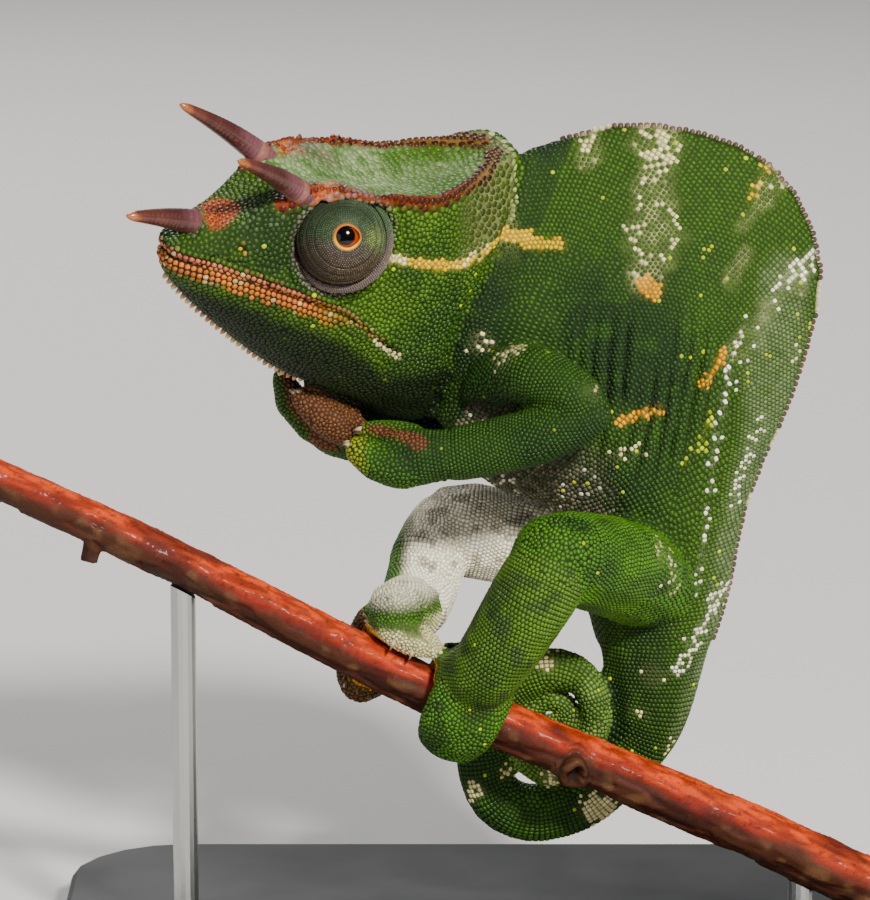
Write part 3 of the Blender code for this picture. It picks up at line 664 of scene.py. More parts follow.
def seedHead():
    # lip rows, crest beads, chin cones
    for sign in (1, -1):
        crest = wholePath(headForm["crest"], 80)
        crest[:, 1] *= sign
        addFeature(fromHead(evenly(crest, 0.8)), 0.8, "crest")
        for row, drop in enumerate((0.56, 1.26, 1.98)):
            for up in (1, -1):
                if up == 1 and row == 2:
                    continue
                reach = (21.8, -0.5 + 1.5 * (up < 0)) if row == 0 else (21.2, 2.0)
                forward = np.linspace(reach[0], reach[1], 140)
                height = mouthHeight(forward) + up * drop
                guess = fromHead(np.stack([forward, np.full(140, 14.0 * sign), height], axis=1))
                hits = []
                for point in guess:
                    where, _, _, _ = skinTree.ray_cast(Vector(point), Vector(-headLeft * sign), 16)
                    if where is not None:
                        hits.append(tuple(where))
                if len(hits) > 3:
                    line = evenly(hits, 0.74)
                    addFeature(line if row % 2 == 0 else (line[:-1] + line[1:]) / 2, 0.74, "lip")
    keel = wholePath(headForm["keel"], 80)
    line = evenly(np.stack([keel[:, 0], np.zeros(80), keel[:, 1]], axis=1), 1.05)
    addFeature(fromHead(line), 0.85, "cone")


def seedBack():
    # the comb of narrow scales along the back
    back = smoothPath(bodyForm["back"], np.linspace(0.35, 6.9, 200))
    back = np.stack([back[:, 0], np.zeros(200), back[:, 1]], axis=1)
    addFeature(evenly(back, 0.78), 0.78, "comb", 0.5)


def castRow(centres, direction, reach, sizes):
    # scales where rays from inside leave the skin
    for centre, size in zip(centres, sizes):
        where, _, face, _ = skinTree.ray_cast(Vector(centre), Vector(direction), reach)
        if where is not None:
            corners = faceCorners[face]
            seeds.tryAdd(where, unit(skinNormals[corners].mean(axis=0)), size, 0.84, False, "row")


def seedTrunk():
    # rows that fan out from belly to back, each half a step off its neighbour
    step = coatSize["trunk"] * 0.87
    places = np.linspace(0.2, 7, 700)
    middle = 0.42 * smoothPath(bodyForm["belly"], places) + 0.58 * smoothPath(bodyForm["back"], places)
    walked = np.concatenate([[0], np.cumsum(np.linalg.norm(np.diff(middle, axis=0), axis=1))])
    count = int(walked[-1] / step)
    for row in range(count):
        place = np.interp(row * step, walked, places)
        low = smoothPath(bodyForm["belly"], place)[0]
        high = smoothPath(bodyForm["back"], place)[0]
        length = np.linalg.norm(high - low)
        number = int(length / coatSize["trunk"])
        shares = (np.arange(number) + (0.5 if row % 2 else 0.0)) / number
        line = low + shares[:, None] * (high - low)
        centres = np.stack([line[:, 0], np.zeros(number), line[:, 1]], axis=1)
        sizes = np.where(shares > 0.6, coatSize["sail"], coatSize["trunk"])
        for sign in (-1, 1):
            castRow(centres, (0, sign, 0), 12.5, sizes)


def seedTube(path, size, reach, stagger):
    # rings of scales square to a limb's or the tail's own line
    for number, tangent in enumerate(unit(np.gradient(path, axis=0))):
        across = np.cross(tangent, (0.0, 1.0, 0.0))
        if np.linalg.norm(across) < 0.3:
            across = np.cross(tangent, (1.0, 0.0, 0.0))
        across = unit(across)
        other = np.cross(tangent, across)
        probe = []
        for angle in np.linspace(0, 2 * math.pi, 40, endpoint=False):
            direction = across * math.cos(angle) + other * math.sin(angle)
            where, _, _, _ = skinTree.ray_cast(Vector(path[number]), Vector(direction), reach)
            probe.append(tuple(where) if where is not None else None)
        kept = [place for place in probe if place is not None]
        if len(kept) < 5:
            continue
        loop = kept + ([kept[0]] if len(kept) == len(probe) else [])
        line = evenly(loop, size)
        if stagger and number % 2:
            line = (line[1:] + line[:-1]) / 2
        closed = len(kept) == len(probe) and not (stagger and number % 2)
        placed, normal, _ = onSkin(line[:-1] if closed else line)
        for point, upward in zip(placed, normal):
            seeds.tryAdd(point, upward, size, 0.84, False, "row")


def seedRest():
    # fills what the rows leave with scattered scales
    a, b, c, d = (skin.points[faceCorners[:, k]] for k in range(4))
    area = 0.5 * np.linalg.norm(np.cross(c - a, d - b), axis=1)
    middle = (a + b + c + d) / 4
    share = fanPlace(middle)[1]
    size = spacingAt(skinOwner[faceCorners[:, 0]], toHead(middle), share)
    wanted = area / (0.866 * size ** 2)
    count = int(wanted.sum() * 6)
    picks = dice.choice(len(faceCorners), count, p=wanted / wanted.sum())
    u, v = dice.random(count)[:, None], dice.random(count)[:, None]
    spots = (a[picks] * (1 - u) + b[picks] * u) * (1 - v) + (d[picks] * (1 - u) + c[picks] * u) * v
    normal = unit(skinNormals[faceCorners[picks]].mean(axis=1))
    for point, upward, wide in zip(spots.tolist(), normal.tolist(), size[picks].tolist()):
        seeds.tryAdd(point, upward, wide, 0.82)


seedHead()
seedBack()
print("feature seeds", len(seeds.points))
seedTrunk()
tailLine = tailPath(coatSize["tail"])
shaftEnd = int(len(tailLine) * 0.62)
seedTube(tailLine[:shaftEnd], coatSize["tail"], 9.0, False)
seedTube(tailLine[shaftEnd:], coatSize["coil"], 3.4, False)
for name, line in bodyForm["limbs"].items():
    seedTube(evenly(wholePath(line, 200), coatSize["limb"] * 0.87), coatSize["limb"], 8.0, True)
print("row seeds", len(seeds.points))
seedRest()
print("all seeds", len(seeds.points))


def neighboursOf(points, normals, count):
    # each scale's nearest others, and which of them lie on the same side of the skin
    tree = KDTree(len(points))
    for number, point in enumerate(points):
        tree.insert(Vector(point), number)
    tree.balance()
    found = np.zeros((len(points), count), int)
    for number, point in enumerate(points):
        found[number] = [item[1] for item in tree.find_n(Vector(point), count + 1)[1:]]
    facing = np.einsum("nkj,nj->nk", normals[found], normals) > 0.1
    return found, facing


def settle(rounds):
    # pushes crowded scales apart and pulls them back onto the skin
    points, normals = np.array(seeds.points), np.array(seeds.normals)
    sizes, fixed = np.array(seeds.sizes), np.array(seeds.fixed)
    for turn in range(rounds):
        near, facing = neighboursOf(points, normals, 8)
        away = points[:, None, :] - points[near]
        gap = np.linalg.norm(away, axis=2)
        need = 0.5 * (sizes[:, None] + sizes[near]) * 1.06
        strength = np.clip((need - gap) / need, 0, 1) * facing
        move = (away / np.maximum(gap, 1e-6)[:, :, None] * strength[:, :, None]).sum(axis=1) * sizes[:, None] * 0.22
        move[fixed] = 0
        points, normals, face = onSkin(points + move)
    return points, normals, face


scalePoints, scaleNormals, scaleFaces = settle(4)
scaleSizes = np.array(seeds.sizes)
scaleKinds = np.array(seeds.kinds)
scaleOwners = ownersOf(scalePoints)
print("scales settled")


# Eyes: a scaly cone over a round eyeball, with a small lid opening at its tip.
eyeForm = {
    "axis": (0.49, 0.73, 0.47),         # forward, left, up
    "lift": 3.9,                        # how far the gaze is raised above that axis, degrees
    "lean": 7.9,                        # and turned back along the head
    "profile": ((1.24, 5.62), (1.24, 5.78), (1.30, 5.87), (1.41, 5.88), (1.52, 5.81), (1.66, 5.71), (2.3, 5.50),
                (2.9, 5.20), (3.40, 4.84), (3.55, 4.66), (3.62, 4.57), (3.74, 4.60), (3.95, 4.42), (4.22, 4.05),
                (4.32, 3.84), (4.38, 3.76), (4.50, 3.78), (4.66, 3.45), (4.84, 3.00), (4.88, 2.78), (4.96, 2.72),
                (5.06, 2.60), (5.14, 2.10), (5.14, 1.70), (5.08, 1.30), (5.10, 1.02), (5.24, 0.94), (5.38, 1.25),
                (5.58, 1.44), (5.82, 1.32), (6.02, 0.95), (6.14, 0.4), (6.16, -0.3), (6.08, -1.1), (5.9, -2.0)),
    "rimColour": "a05a14", "rimBright": "e0a400", "green": "46603a", "eyeHighlightGreen": "94a258", "grey": "62564c",
    "dark": "1c1812", "foldColour": "7c6a64", "bronze": "5c4826",
    "pupil": "020101", "iris": "8c3208", "irisDark": "3a1408", "seam": "0a0806",
    "pupilRadius": 1.06, "pupilShift": (-0.14, 0.10), "rowStep": 0.27,
}

# Colours of skin and scales.
coatColours = {
    "leafGreen": "3a5a12", "deepGreen": "1f3b0d", "brightGreen": "4c7422", "sailGreen": "46661e",
    "greyGreen": "85956a", "mossSpot": "4b6a34", "oliveBrown": "4f4a20", "paleBorder": "a9b074",
    "brickRed": "4c160a", "redBorder": "8e3c1a", "orangeRed": "842a0c", "orangeBorder": "c87c50",
    "crestBrown": "2a100a", "lipPink": "b46a50", "lipOrange": "c06c3a", "cream": "e8dca8", "white": "f8f0d8",
    "yellow": "d2ac00", "orange": "d29600", "limeDot": "b0bc18", "bellyGrey": "7c7660", "darkSpot": "1d2a14",
    "toeEdge": "e0a030", "palmBrown": "5e3a24", "innerWhite": "fff4dc", "tailShade": "263e16",
    "handTip": "8c8c2c", "combBrown": "5c4034", "coilPaleAndLit": "7c9850", "footPale": "dcd4a4",
}
tint = {name: toLinear(value) for name, value in coatColours.items()}


def richer(colours, strength):
    # moves colours away from grey, keeping how bright they are
    grey = colours @ np.array((0.2126, 0.7152, 0.0722))
    return np.clip(grey[:, None] + (colours - grey[:, None]) * strength, 0.0008, 0.92)


# Markings on each side of the trunk: a line of X and Z, half width, colour, how full, how ragged.
trunkMarks = (
    (((24.7, 84.9), (25.6, 84.5)), 1.15, "orange", 1.0, 0.3),
    (((8.0, 91.0), (11.0, 90.2), (14.4, 90.0)), 0.8, "yellow", 1.0, 0.5),
    (((26.9, 104.6), (26.6, 101.6), (26.2, 99.4)), 1.4, "cream", 0.62, 1.0),
    (((24.9, 104.4), (24.6, 99.0)), 0.4, "cream", 0.5, 0.9),
    (((28.6, 104.0), (28.4, 99.8)), 0.4, "cream", 0.45, 0.9),
    (((17.9, 103.8), (18.2, 101.2)), 0.8, "cream", 0.55, 0.9),
    (((24.8, 98.6), (24.0, 94.6), (27.2, 94.2), (28.9, 91.8), (27.4, 88.4), (24.0, 89.0), (22.6, 92.0),
      (24.0, 94.6)), 0.35, "cream", 0.4, 1.0),
    (((39.8, 99.2), (38.2, 96.4), (37.2, 94.4)), 0.55, "yellow", 0.6, 0.8),
    (((42.2, 97.8), (40.0, 96.2)), 0.5, "cream", 0.6, 0.8),
    (((45.8, 88.4), (43.4, 86.6), (41.4, 84.4)), 1.0, "white", 0.6, 1.0),
    (((41.4, 84.6), (38.6, 81.0), (36.2, 77.4), (35.0, 73.2)), 1.5, "white", 0.14, 0.8),
    (((36.6, 79.6), (34.9, 75.6), (34.0, 71.4), (33.2, 66.0), (32.9, 61.0), (32.5, 56.4), (31.8, 51.5),
      (31.2, 47.5)), 0.3, "white", 0.6, 0.9),
    (((34.7, 72.0), (33.0, 63.0)), 0.4, "white", 0.35, 0.9),
    (((34.4, 77.0), (33.2, 75.2), (31.9, 73.2)), 0.42, "orange", 1.0, 0.5),
    (((22.0, 69.3), (24.0, 69.9), (26.3, 70.4)), 0.52, "orange", 1.0, 0.5),
    (((39.2, 67.6), (37.4, 64.4), (35.4, 58.0)), 0.9, "white", 0.3, 0.9),
    (((43.2, 76.8), (42.8, 75.2)), 0.6, "cream", 0.45, 0.6),
    (((35.0, 48.0), (33.0, 44.6), (30.8, 40.6), (29.6, 38.0)), 0.8, "white", 0.6, 0.9),
    (((21.0, 64.8), (24.8, 65.4)), 0.6, "cream", 0.35, 0.8),
    (((29.5, 63.6), (31.6, 66.0), (33.0, 69.6)), 0.45, "limeDot", 0.5, 0.8),
)
# Where the scales keep green centres inside pale borders: a line of X and Z, half width, strength.
netMarks = (
    (((26.4, 104.5), (26.2, 98.0), (26.4, 92.0), (25.4, 87.2)), 3.4, 0.9),
    (((41.0, 97.8), (38.2, 94.0), (36.8, 91.6)), 1.9, 0.6),
    (((36.8, 88.8), (35.2, 85.6)), 1.5, 0.5),
    (((18.0, 103.5), (18.4, 100.0)), 1.5, 0.5),
    (((44.8, 86.8), (39.4, 81.5), (36.0, 77.0)), 1.8, 0.5),
)
# Markings on each side of the head, as lines of forward and up.
headMarks = (
    (((-4.3, -1.6), (-7.0, -2.3), (-9.6, -2.6), (-12.4, -3.6), (-15.2, -3.6)), 0.58, "yellow", 1.0, 0.5),
    (((-15.2, -3.6), (-18.4, -2.6), (-20.4, -1.7), (-24.0, -1.6)), 0.6, "yellow", 0.9, 0.5),
    (((-13.4, -3.4), (-17.0, -2.4)), 0.9, "cream", 0.3, 0.6),
    (((-4.0, -1.4), (-5.8, -1.9)), 0.6, "cream", 0.8, 0.3),
)


# Red patches on the head: a centre of forward, left and up, its reach, and how far out it starts,
# if not at the middle.
redPatches = (((4.3, 4.4, 6.2), 2.9, 3.3), ((15.0, 0.0, 2.2), 3.3, None))
# Whitish flecks at shoulder, elbow and hip: a centre of X, Y and Z, its reach and strength.
jointFlecks = (
    ((8.2, -10.6, 78.4), 2.6, 0.8), ((5.3, -7.1, 78.2), 1.8, 0.7), ((18.6, -17.0, 75.2), 1.8, 0.3),
    ((6.5, 8.0, 76.0), 2.4, 0.6), ((27.2, -10.6, 54.0), 2.4, 0.5), ((27.8, -10.0, 50.6), 2.0, 0.4),
)
# Pale patches on the tail: a centre of X and Z, its reach and strength.
tailPatches = (
    ((4.9, 21.9), 1.7, 0.9), ((20.1, 19.4), 2.6, 1.0), ((14.6, 24.0), 1.6, 0.8), ((9.1, 24.3), 1.0, 0.8),
    ((13.4, 38.6), 1.3, 0.7), ((28.4, 27.0), 1.4, 0.5), ((24.0, 32.0), 1.6, 0.35), ((26.0, 37.0), 1.8, 0.3),
)
# The pale strip down the hind edge of back and tail, partly its own grey-green and partly painted light on the side
# the light falls on, the brown cleft of the folded hand and the outer edge of the far fingers.
hindStripLine = ((42.0, 85.0), (40.2, 75.0), (39.6, 65.0), (37.8, 55.4), (36.0, 45.6), (33.6, 35.8), (31.8, 29.6))
cleftLine = ((-8.6, -10.8, 68.9), (-6.2, -10.9, 69.0), (-3.6, -12.6, 68.7), (-1.8, -13.9, 67.8))
fingerLine = ((-11.0, -1.0, 65.4), (-14.6, -1.4, 67.4), (-17.2, -1.6, 70.4), (-18.0, -2.4, 73.0))
mouthCorner = ((-3.4, -11.9), (-5.0, -13.3), (-6.9, -14.6))


def mix(base, colour, weight):
    weight = np.asarray(weight)[:, None]
    return base * (1 - weight) + colour * weight


class CoatPaint:
    # a colour and a border colour for each place, with what the markings ask about that place
    def __init__(self, points, owner, kinds, chance, chance2):
        # chance and chance2 are each scale's own luck, so that a marking breaks up into single scales
        self.points, self.owner, self.kinds, self.chance, self.chance2 = points, owner, kinds, chance, chance2
        self.local = toHead(points)
        self.forward, self.side, self.height = self.local[:, 0], np.abs(self.local[:, 1]), self.local[:, 2]
        self.mirrored = np.stack([self.forward, self.side, self.height], axis=1)
        self.profile = np.stack([self.forward, self.height], axis=1)
        self.flat = points[:, [0, 2]]
        self.along, self.share = fanPlace(points)
        self.broad, self.small = cloud(points, 7.0, 1), cloud(points, 1.8, 2)
        self.head, self.trunk, self.neck = self.on(*headNames), self.on(*trunkNames), self.on("neck")
        self.tail = self.on("tail_2", "tail_3", "tail_4", "tail_5")
        self.roof = self.head & casqueTop(self.local)

    def on(self, *names):
        return np.isin(self.owner, names)

    def patchy(self, size, seed):
        return cloud(self.points, size, seed)

    def lay(self, name, weight, strength=1.0):
        self.colour = mix(self.colour, tint[name] * strength, weight)

    def edge(self, name, strength, weight):
        self.rim = mix(self.rim, tint[name] * strength, weight)


def paintGreens(p):
    # greens, the grey belly, the darker tail, the hind strip lighter partly in its own grey-green and partly by
    # painted light, the coil lighter by painted light, single bright scales, and borders darkened by painted shade in
    # the gaps between scales
    p.colour = mix(tint["leafGreen"], tint["deepGreen"], 0.8 * smoothStep(0.35, 0.75, p.broad) + 0.25 * p.small)
    p.lay("brightGreen", 0.35 * smoothStep(0.5, 0.9, p.small))
    p.lay("sailGreen", p.trunk * 0.65 * smoothStep(0.5, 0.85, p.share))
    p.lay("sailGreen", p.trunk * 0.7 * smoothStep(0.45, 0.75, p.share) * smoothStep(3.2, 4.2, p.along))
    bellyness = p.trunk * smoothStep(0.30, 0.10, p.share) * smoothStep(6.0, 4.6, p.along)
    p.lay("bellyGrey", bellyness * (0.45 + 0.5 * (p.chance < 0.6)))
    p.lay("darkSpot", bellyness * (p.chance2 < 0.3) * 0.7)
    p.lay("white", bellyness * (p.chance2 > 0.94) * 0.7)
    tailShade = 0.5 + 0.5 * np.sin(p.patchy(5.0, 15) * 14.0)
    p.lay("tailShade", (p.tail | p.on("tail_1")) * 0.5 * tailShade)
    # the coil painted a lighter, paler green: painted light
    p.lay("coilPaleAndLit", p.on(*coilNames) * (0.1 + 0.6 * p.small) * (1 - 0.4 * p.on("tail_4")))
    # pale grey-green down the hind edge, partly its own colour and partly painted light on the side the light falls
    # on
    behind = smoothStep(4.4, 1.6, nearPath(p.flat, hindStripLine)[0] + 2.0 * (p.broad - 0.5))
    hindStripPaleAndLit = (p.trunk | p.on("tail_2")) * behind
    p.lay("greyGreen", hindStripPaleAndLit * (0.25 + 0.5 * p.patchy(1.1, 29)))
    # border colours start darker than the scales: painted shade in the gaps between them
    p.rim = p.colour * np.where(p.head, 0.42, 0.3)[:, None]
    limb = ~p.head & ~p.trunk & ~p.tail
    grouped = (p.patchy(1.15, 5) > 0.925) & (p.chance < 0.6)
    p.lucky = ((p.chance2 > 0.9966) | grouped) & ~(limb & (p.chance < 0.35))
    p.lay("limeDot", (p.lucky & ~p.head) * 0.85)
    p.lay("limeDot", (p.head & (p.chance2 > 0.991) & (p.height < 2.5)) * 0.8)


def paintTrunk(p):
    # pale nets, the back lobe of the casque, and the markings on both sides
    netted = np.zeros(len(p.points))
    torn = 0.35 + 0.65 * smoothStep(0.35, 0.6, p.patchy(1.2, 22))
    for path, half, strength in netMarks:
        gap, _ = nearPath(p.flat, path)
        soft = smoothStep(half, half * 0.3, gap + 2.6 * (p.patchy(2.2, 17) - 0.5))
        netted = np.maximum(netted, soft * strength * p.trunk * torn)
    p.lobe = smoothStep(-12.0, -18.0, p.forward) * smoothStep(-5.5, -1.0, p.height) \
        * (p.head | p.neck) * (p.forward > -22.6)
    p.lay("oliveBrown", p.lobe * (0.15 + 0.35 * (p.chance < 0.4)))
    p.edge("cream", 0.8, netted * (0.15 + 0.85 * p.chance2))
    p.lay("cream", netted * 0.8 * (p.chance < 0.16 * netted))
    p.edge("paleBorder", 0.6, p.lobe * (0.3 + 0.5 * p.chance2))
    hem = p.head * smoothStep(-21.5, -22.0, p.forward) * (p.forward > -23.2) * (p.height > -8)
    p.lay("paleBorder", hem * (0.3 + 0.4 * (p.chance2 < 0.6)))
    for path, half, name, fill, ragged in trunkMarks:
        gap, _ = nearPath(p.flat, path)
        width = half * (1 + ragged * (p.patchy(1.3, 7) - 0.5) * 2)
        inside = smoothStep(width + 0.5, width - 0.4, gap) * fill * (p.trunk | p.neck)
        lit = (p.chance < inside) * (0.6 + 0.4 * p.chance2)
        p.lay(name, lit)
        p.edge(name, 0.6, inside * 0.6 * (lit > 0.3))


def paintHead(p):
    # mossy roof, red crests and patches, lips, eye stripe, painted shade under the jaw and the fold round the eye
    patch = np.maximum(smoothStep(0.5, 0.7, p.patchy(1.3, 9)), (p.chance < 0.3) * 0.7)
    roofTone = mix(tint["greyGreen"], tint["mossSpot"], patch * 0.8)
    leafier = 0.5 * smoothStep(-6.0, -12.0, p.forward) + 0.3 * (p.patchy(4.0, 8) > 0.5)
    roofTone = mix(roofTone, tint["leafGreen"], leafier)
    p.colour = mix(p.colour, roofTone, p.roof * 0.92)
    p.colour = mix(p.colour, roofTone, (p.head & snoutTop(p.local) & ~p.roof) * 0.3 * (p.chance < 0.4))
    p.rim = mix(p.rim, p.colour * 0.8, p.roof * 1.0)
    gap, at = nearPath(p.mirrored, wholePath(headForm["crest"], 50))
    red = p.head * smoothStep(1.5, 0.9, gap + 0.5 * (p.small - 0.5))
    p.lay("brickRed", red * 0.95)
    p.lay("crestBrown", red * (smoothStep(0.2, 0.5, at) * 0.6 + 0.35 * (p.chance < 0.5)))
    p.edge("redBorder", 0.7, red * (1 - 0.5 * smoothStep(0.4, 0.8, at)))
    for centre, reach, inmost in redPatches:
        gap = np.linalg.norm((p.mirrored - np.array(centre)) * (1.0, 1.0, 1.15), axis=1)
        glow = p.head * smoothStep(reach, reach - 0.7, gap + 0.8 * (p.small - 0.5))
        if inmost is not None:
            glow = glow * smoothStep(inmost, inmost + 0.7, p.side)
        p.lay("orangeRed", glow * 0.95)
        p.edge("orangeBorder", 0.8, glow * 0.8)
    slit = p.height - mouthHeight(p.forward)
    lipRun = p.head * smoothStep(-5.6, -4.2, p.forward)
    fade = 0.35 + 0.65 * smoothStep(0.0, 7.0, p.forward)
    thick = 0.55 + 0.45 * smoothStep(-1.0, 3.0, p.forward)
    upper = lipRun * (slit > 0) * smoothStep(1.25, 0.95, slit / thick + 0.25 * (p.chance - 0.5)) * fade
    lower = lipRun * (slit <= 0) * smoothStep(2.2, 1.6, -slit / thick ** 2 + 0.6 * (p.chance - 0.5)) * fade
    p.lay("lipPink", upper * (0.6 + 0.4 * p.chance2))
    p.lay("lipOrange", lower * (0.6 + 0.4 * p.chance2))
    p.lay("cream", (upper + lower) * (p.chance2 < 0.12) * 0.4)
    p.edge("brickRed", 0.5, np.clip(upper + lower, 0, 1) * 0.8)
    corner = nearPath(p.profile, mouthCorner)[0]
    p.lay("cream", p.head * (p.side > 4) * smoothStep(0.5, 0.2, corner) * 0.6)
    for path, half, name, fill, ragged in headMarks:
        gap, _ = nearPath(p.profile, path)
        width = half * (1 + ragged * (p.patchy(1.1, 7) - 0.5) * 2)
        inside = (gap < width) & (p.chance < fill) & (p.head | p.neck) & (p.side > 3)
        p.lay(name, inside * 0.97, 0.85 + 0.25 * p.chance2[:, None])
        p.edge(name, 0.6, inside * 0.9)
    # the lower jaw's underside darkened: painted shade where it faces away from the light
    jaw = p.on("lower_jaw") * smoothStep(-2.4, -5.0, slit)
    p.lay("deepGreen", jaw * 0.9, 0.25)
    p.edge("deepGreen", 0.12, jaw)
    nostril = np.linalg.norm(p.mirrored - np.array(headForm["nostril"]), axis=1)
    p.lay("yellow", p.head * smoothStep(1.0, 0.6, nostril) * (p.forward < 14.5) * 0.7)
    orbit = p.head * smoothStep(2.0, 4.0, p.side) * smoothStep(6.9, 6.3, np.hypot(p.forward - 2.2, p.height - 1.1))
    p.colour = mix(p.colour, toLinear(eyeForm["foldColour"]) * 0.7, orbit * 0.7)


def paintLimbs(p):
    # whitish flecks at the joints, spotted hind legs, painted shade on the arms and the far leg's white inner face
    for centre, reach, strength in jointFlecks:
        gap = np.linalg.norm(p.points - np.array(centre), axis=1)
        soft = smoothStep(reach * 1.2, reach * 0.2, gap + 2.0 * (p.patchy(1.0, 18) - 0.5)) * strength
        p.lay("cream", (p.chance < soft * 0.75) * 0.92)
        p.edge("cream", 0.5, soft * 0.35)
    x, y, z = p.points.T
    hind = p.on("thigh_left", "shin_left", "thigh_right", "shin_right", "foot_left", "foot_right",
                "foot_left_outer_toes", "foot_left_inner_toes")
    p.lay("brightGreen", hind * (0.65 - 0.4 * p.lucky) * smoothStep(0.25, 0.6, p.patchy(3.0, 14)))
    p.lay("darkSpot", smoothStep(0.58, 0.78, p.patchy(1.5, 12)) * hind * ~p.on("thigh_left") * 0.55)
    # the arms darkened towards deep green: painted shade
    arms = p.on("upper_arm_left", "forearm_left", "upper_arm_right", "forearm_right", "hand_left")
    p.lay("deepGreen", arms * (0.45 + 0.3 * p.small), 0.6)
    whiteFace = np.interp(y, (3.0, 8.0, 13.0), (1.0, 0.8, 0.0))
    inner = p.on("thigh_right", "shin_right") * whiteFace * smoothStep(-4.6, -2.6, x + 0.125 * (50.0 - z))
    fist = p.on("foot_right", "foot_right_inner_toes")
    p.lay("footPale", fist * smoothStep(0.3, 0.9, p.small + 0.45 * (44.6 - z)) * 0.85)
    p.edge("footPale", 0.35, fist * smoothStep(46.0, 43.0, z))
    inner = np.maximum(inner, p.on("foot_right") * 0.6 * smoothStep(46.0, 48.5, z))
    spots = smoothStep(0.62, 0.74, cloud(p.points * (1.0, 1.0, 0.7), 1.3, 24))
    p.lay("innerWhite", inner * 0.97)
    p.lay("darkSpot", inner * spots * 0.5)
    p.edge("innerWhite", 0.55, inner * 0.9 * (1 - 0.6 * spots))
    innerLeft = p.on("thigh_left", "shin_left") * smoothStep(-12.5, -10.0, y) * (z > 42) * (x < 16)
    p.lay("innerWhite", innerLeft * 0.75)


def paintHandsAndFeet(p):
    # brown palms, yellowish fingertips and an orange edge where soles meet the bark
    x, _, z = p.points.T
    palm = (p.on("hand_right_inner_toes") | (p.on("hand_right") & (x < -11.5) & (z > 64.6))) * 1.0
    finger = smoothPath(fingerLine, np.linspace(0, 3, 24))
    nearest = finger[np.argmin(np.linalg.norm(p.points[:, None, :] - finger[None], axis=2), axis=1)]
    inward = (p.points - nearest) @ np.array((0.75, -0.45, 0.3))
    palm = np.maximum(palm, p.on("hand_right_outer_toes") * smoothStep(0.1, 0.9, inward))
    cleft = smoothStep(1.25, 0.8, nearPath(p.points, cleftLine)[0])
    palm = np.maximum(palm, p.on("hand_left", "hand_left_inner_toes", "hand_left_outer_toes") * cleft)
    palm = np.maximum(palm, p.on("foot_right_outer_toes") * 0.85)
    p.lay("palmBrown", palm * 0.95, 0.75 + 0.5 * p.small[:, None])
    p.edge("palmBrown", 0.4, palm)
    p.lay("handTip", p.on("hand_left_outer_toes", "hand_left_inner_toes") * smoothStep(-7.4, -9.4, x) * 0.7)
    spine, reach = branchPath((x - branchForm["left"][0]) / (branchForm["right"][0] - branchForm["left"][0]))
    across = p.points - spine
    across = across - (across @ branchForward)[:, None] * branchForward
    aboveBark = np.linalg.norm(across, axis=1) - reach
    foot, leftFoot = (np.char.startswith(p.owner, name) for name in ("foot_", "foot_left"))
    sole = foot * smoothStep(1.3, 0.8, aboveBark - 0.7 * leftFoot)
    p.lay("toeEdge", sole * 0.9)
    p.edge("toeEdge", 0.6, sole * 0.8)


def paintTailAndComb(p):
    # pale patches on the tail, the comb along the back, and the cones under the chin
    for centre, reach, strength in tailPatches:
        gap = np.linalg.norm(p.flat - np.array(centre), axis=1)
        soft = smoothStep(reach * 1.2, reach * 0.2, gap + 1.6 * (p.small - 0.5))
        soft = (p.tail | p.on("tail_1")) * soft * strength
        p.lay("cream", (p.chance < soft) * 0.9)
        p.edge("cream", 0.55, soft * 0.5)
    comb, cones = p.kinds == "comb", p.kinds == "cone"
    p.colour[comb] = mix(tint["combBrown"], tint["cream"], (p.patchy(4.2, 21) > 0.6) * 0.85)[comb]
    p.colour[cones] = mix(tint["lipPink"], tint["cream"], 0.2 + 0.6 * p.chance)[cones]


def markingColours(points, owner, kinds, chance, chance2):
    # the same markings for skin and scales: colours, and the borders between them, darkened by painted shade in the
    # gaps except where nets and marks make them pale; each part is also lit or shaded by painted light and shade
    p = CoatPaint(points, owner, kinds, chance, chance2)
    for paintPart in (paintGreens, paintTrunk, paintHead, paintLimbs, paintHandsAndFeet, paintTailAndComb):
        paintPart(p)
    shade = 0.78 + 0.44 * dice.random(len(points))
    green = ~(p.on("lower_jaw") | np.isin(kinds, ("comb", "cone", "lip", "crest")))
    # brightness by part, partly each part's own green and partly painted light and shade: trunk, snout, neck and
    # casque lobe darker, cheeks and coil tip lighter, and painted shade in the flank's wrinkle grooves
    partToneLightAndShade = np.where(p.trunk, 0.68, np.where(p.head & (p.forward > 8), 0.8, 1.0))
    partToneLightAndShade = np.where(p.head & (p.forward <= 8) & ~p.roof, 1.3 - 0.75 * p.lobe, partToneLightAndShade)
    partToneLightAndShade = np.where(p.neck, 0.45, np.where(p.on("tail_5"), 1.15, partToneLightAndShade))
    partToneLightAndShade = partToneLightAndShade * (1 - flankMake["shade"] * flankWave(points) * p.trunk)
    bright = smoothStep(0.25, 0.45, p.colour.max(axis=1))
    shade = shade * np.where(green, partToneLightAndShade * (1 - bright) + bright, 1.0)
    leafy = smoothStep(1.15, 1.6, p.colour[:, 1] / (p.colour[:, 0] + 0.002)) \
        * (p.head & ~p.roof | p.on("foot_left", "shin_left"))
    dusty = (leafy * (1 - bright))[:, None] * np.array((0.25, 0.0, 0.6))
    return richer(p.colour * shade[:, None] * (1 + dusty), 1.15), richer(p.rim, 1.15)


scaleLuck, scaleLuckTwo = dice.random(len(scalePoints)), dice.random(len(scalePoints))
scaleColours, scaleRims = markingColours(scalePoints, scaleOwners, scaleKinds, scaleLuck, scaleLuckTwo)


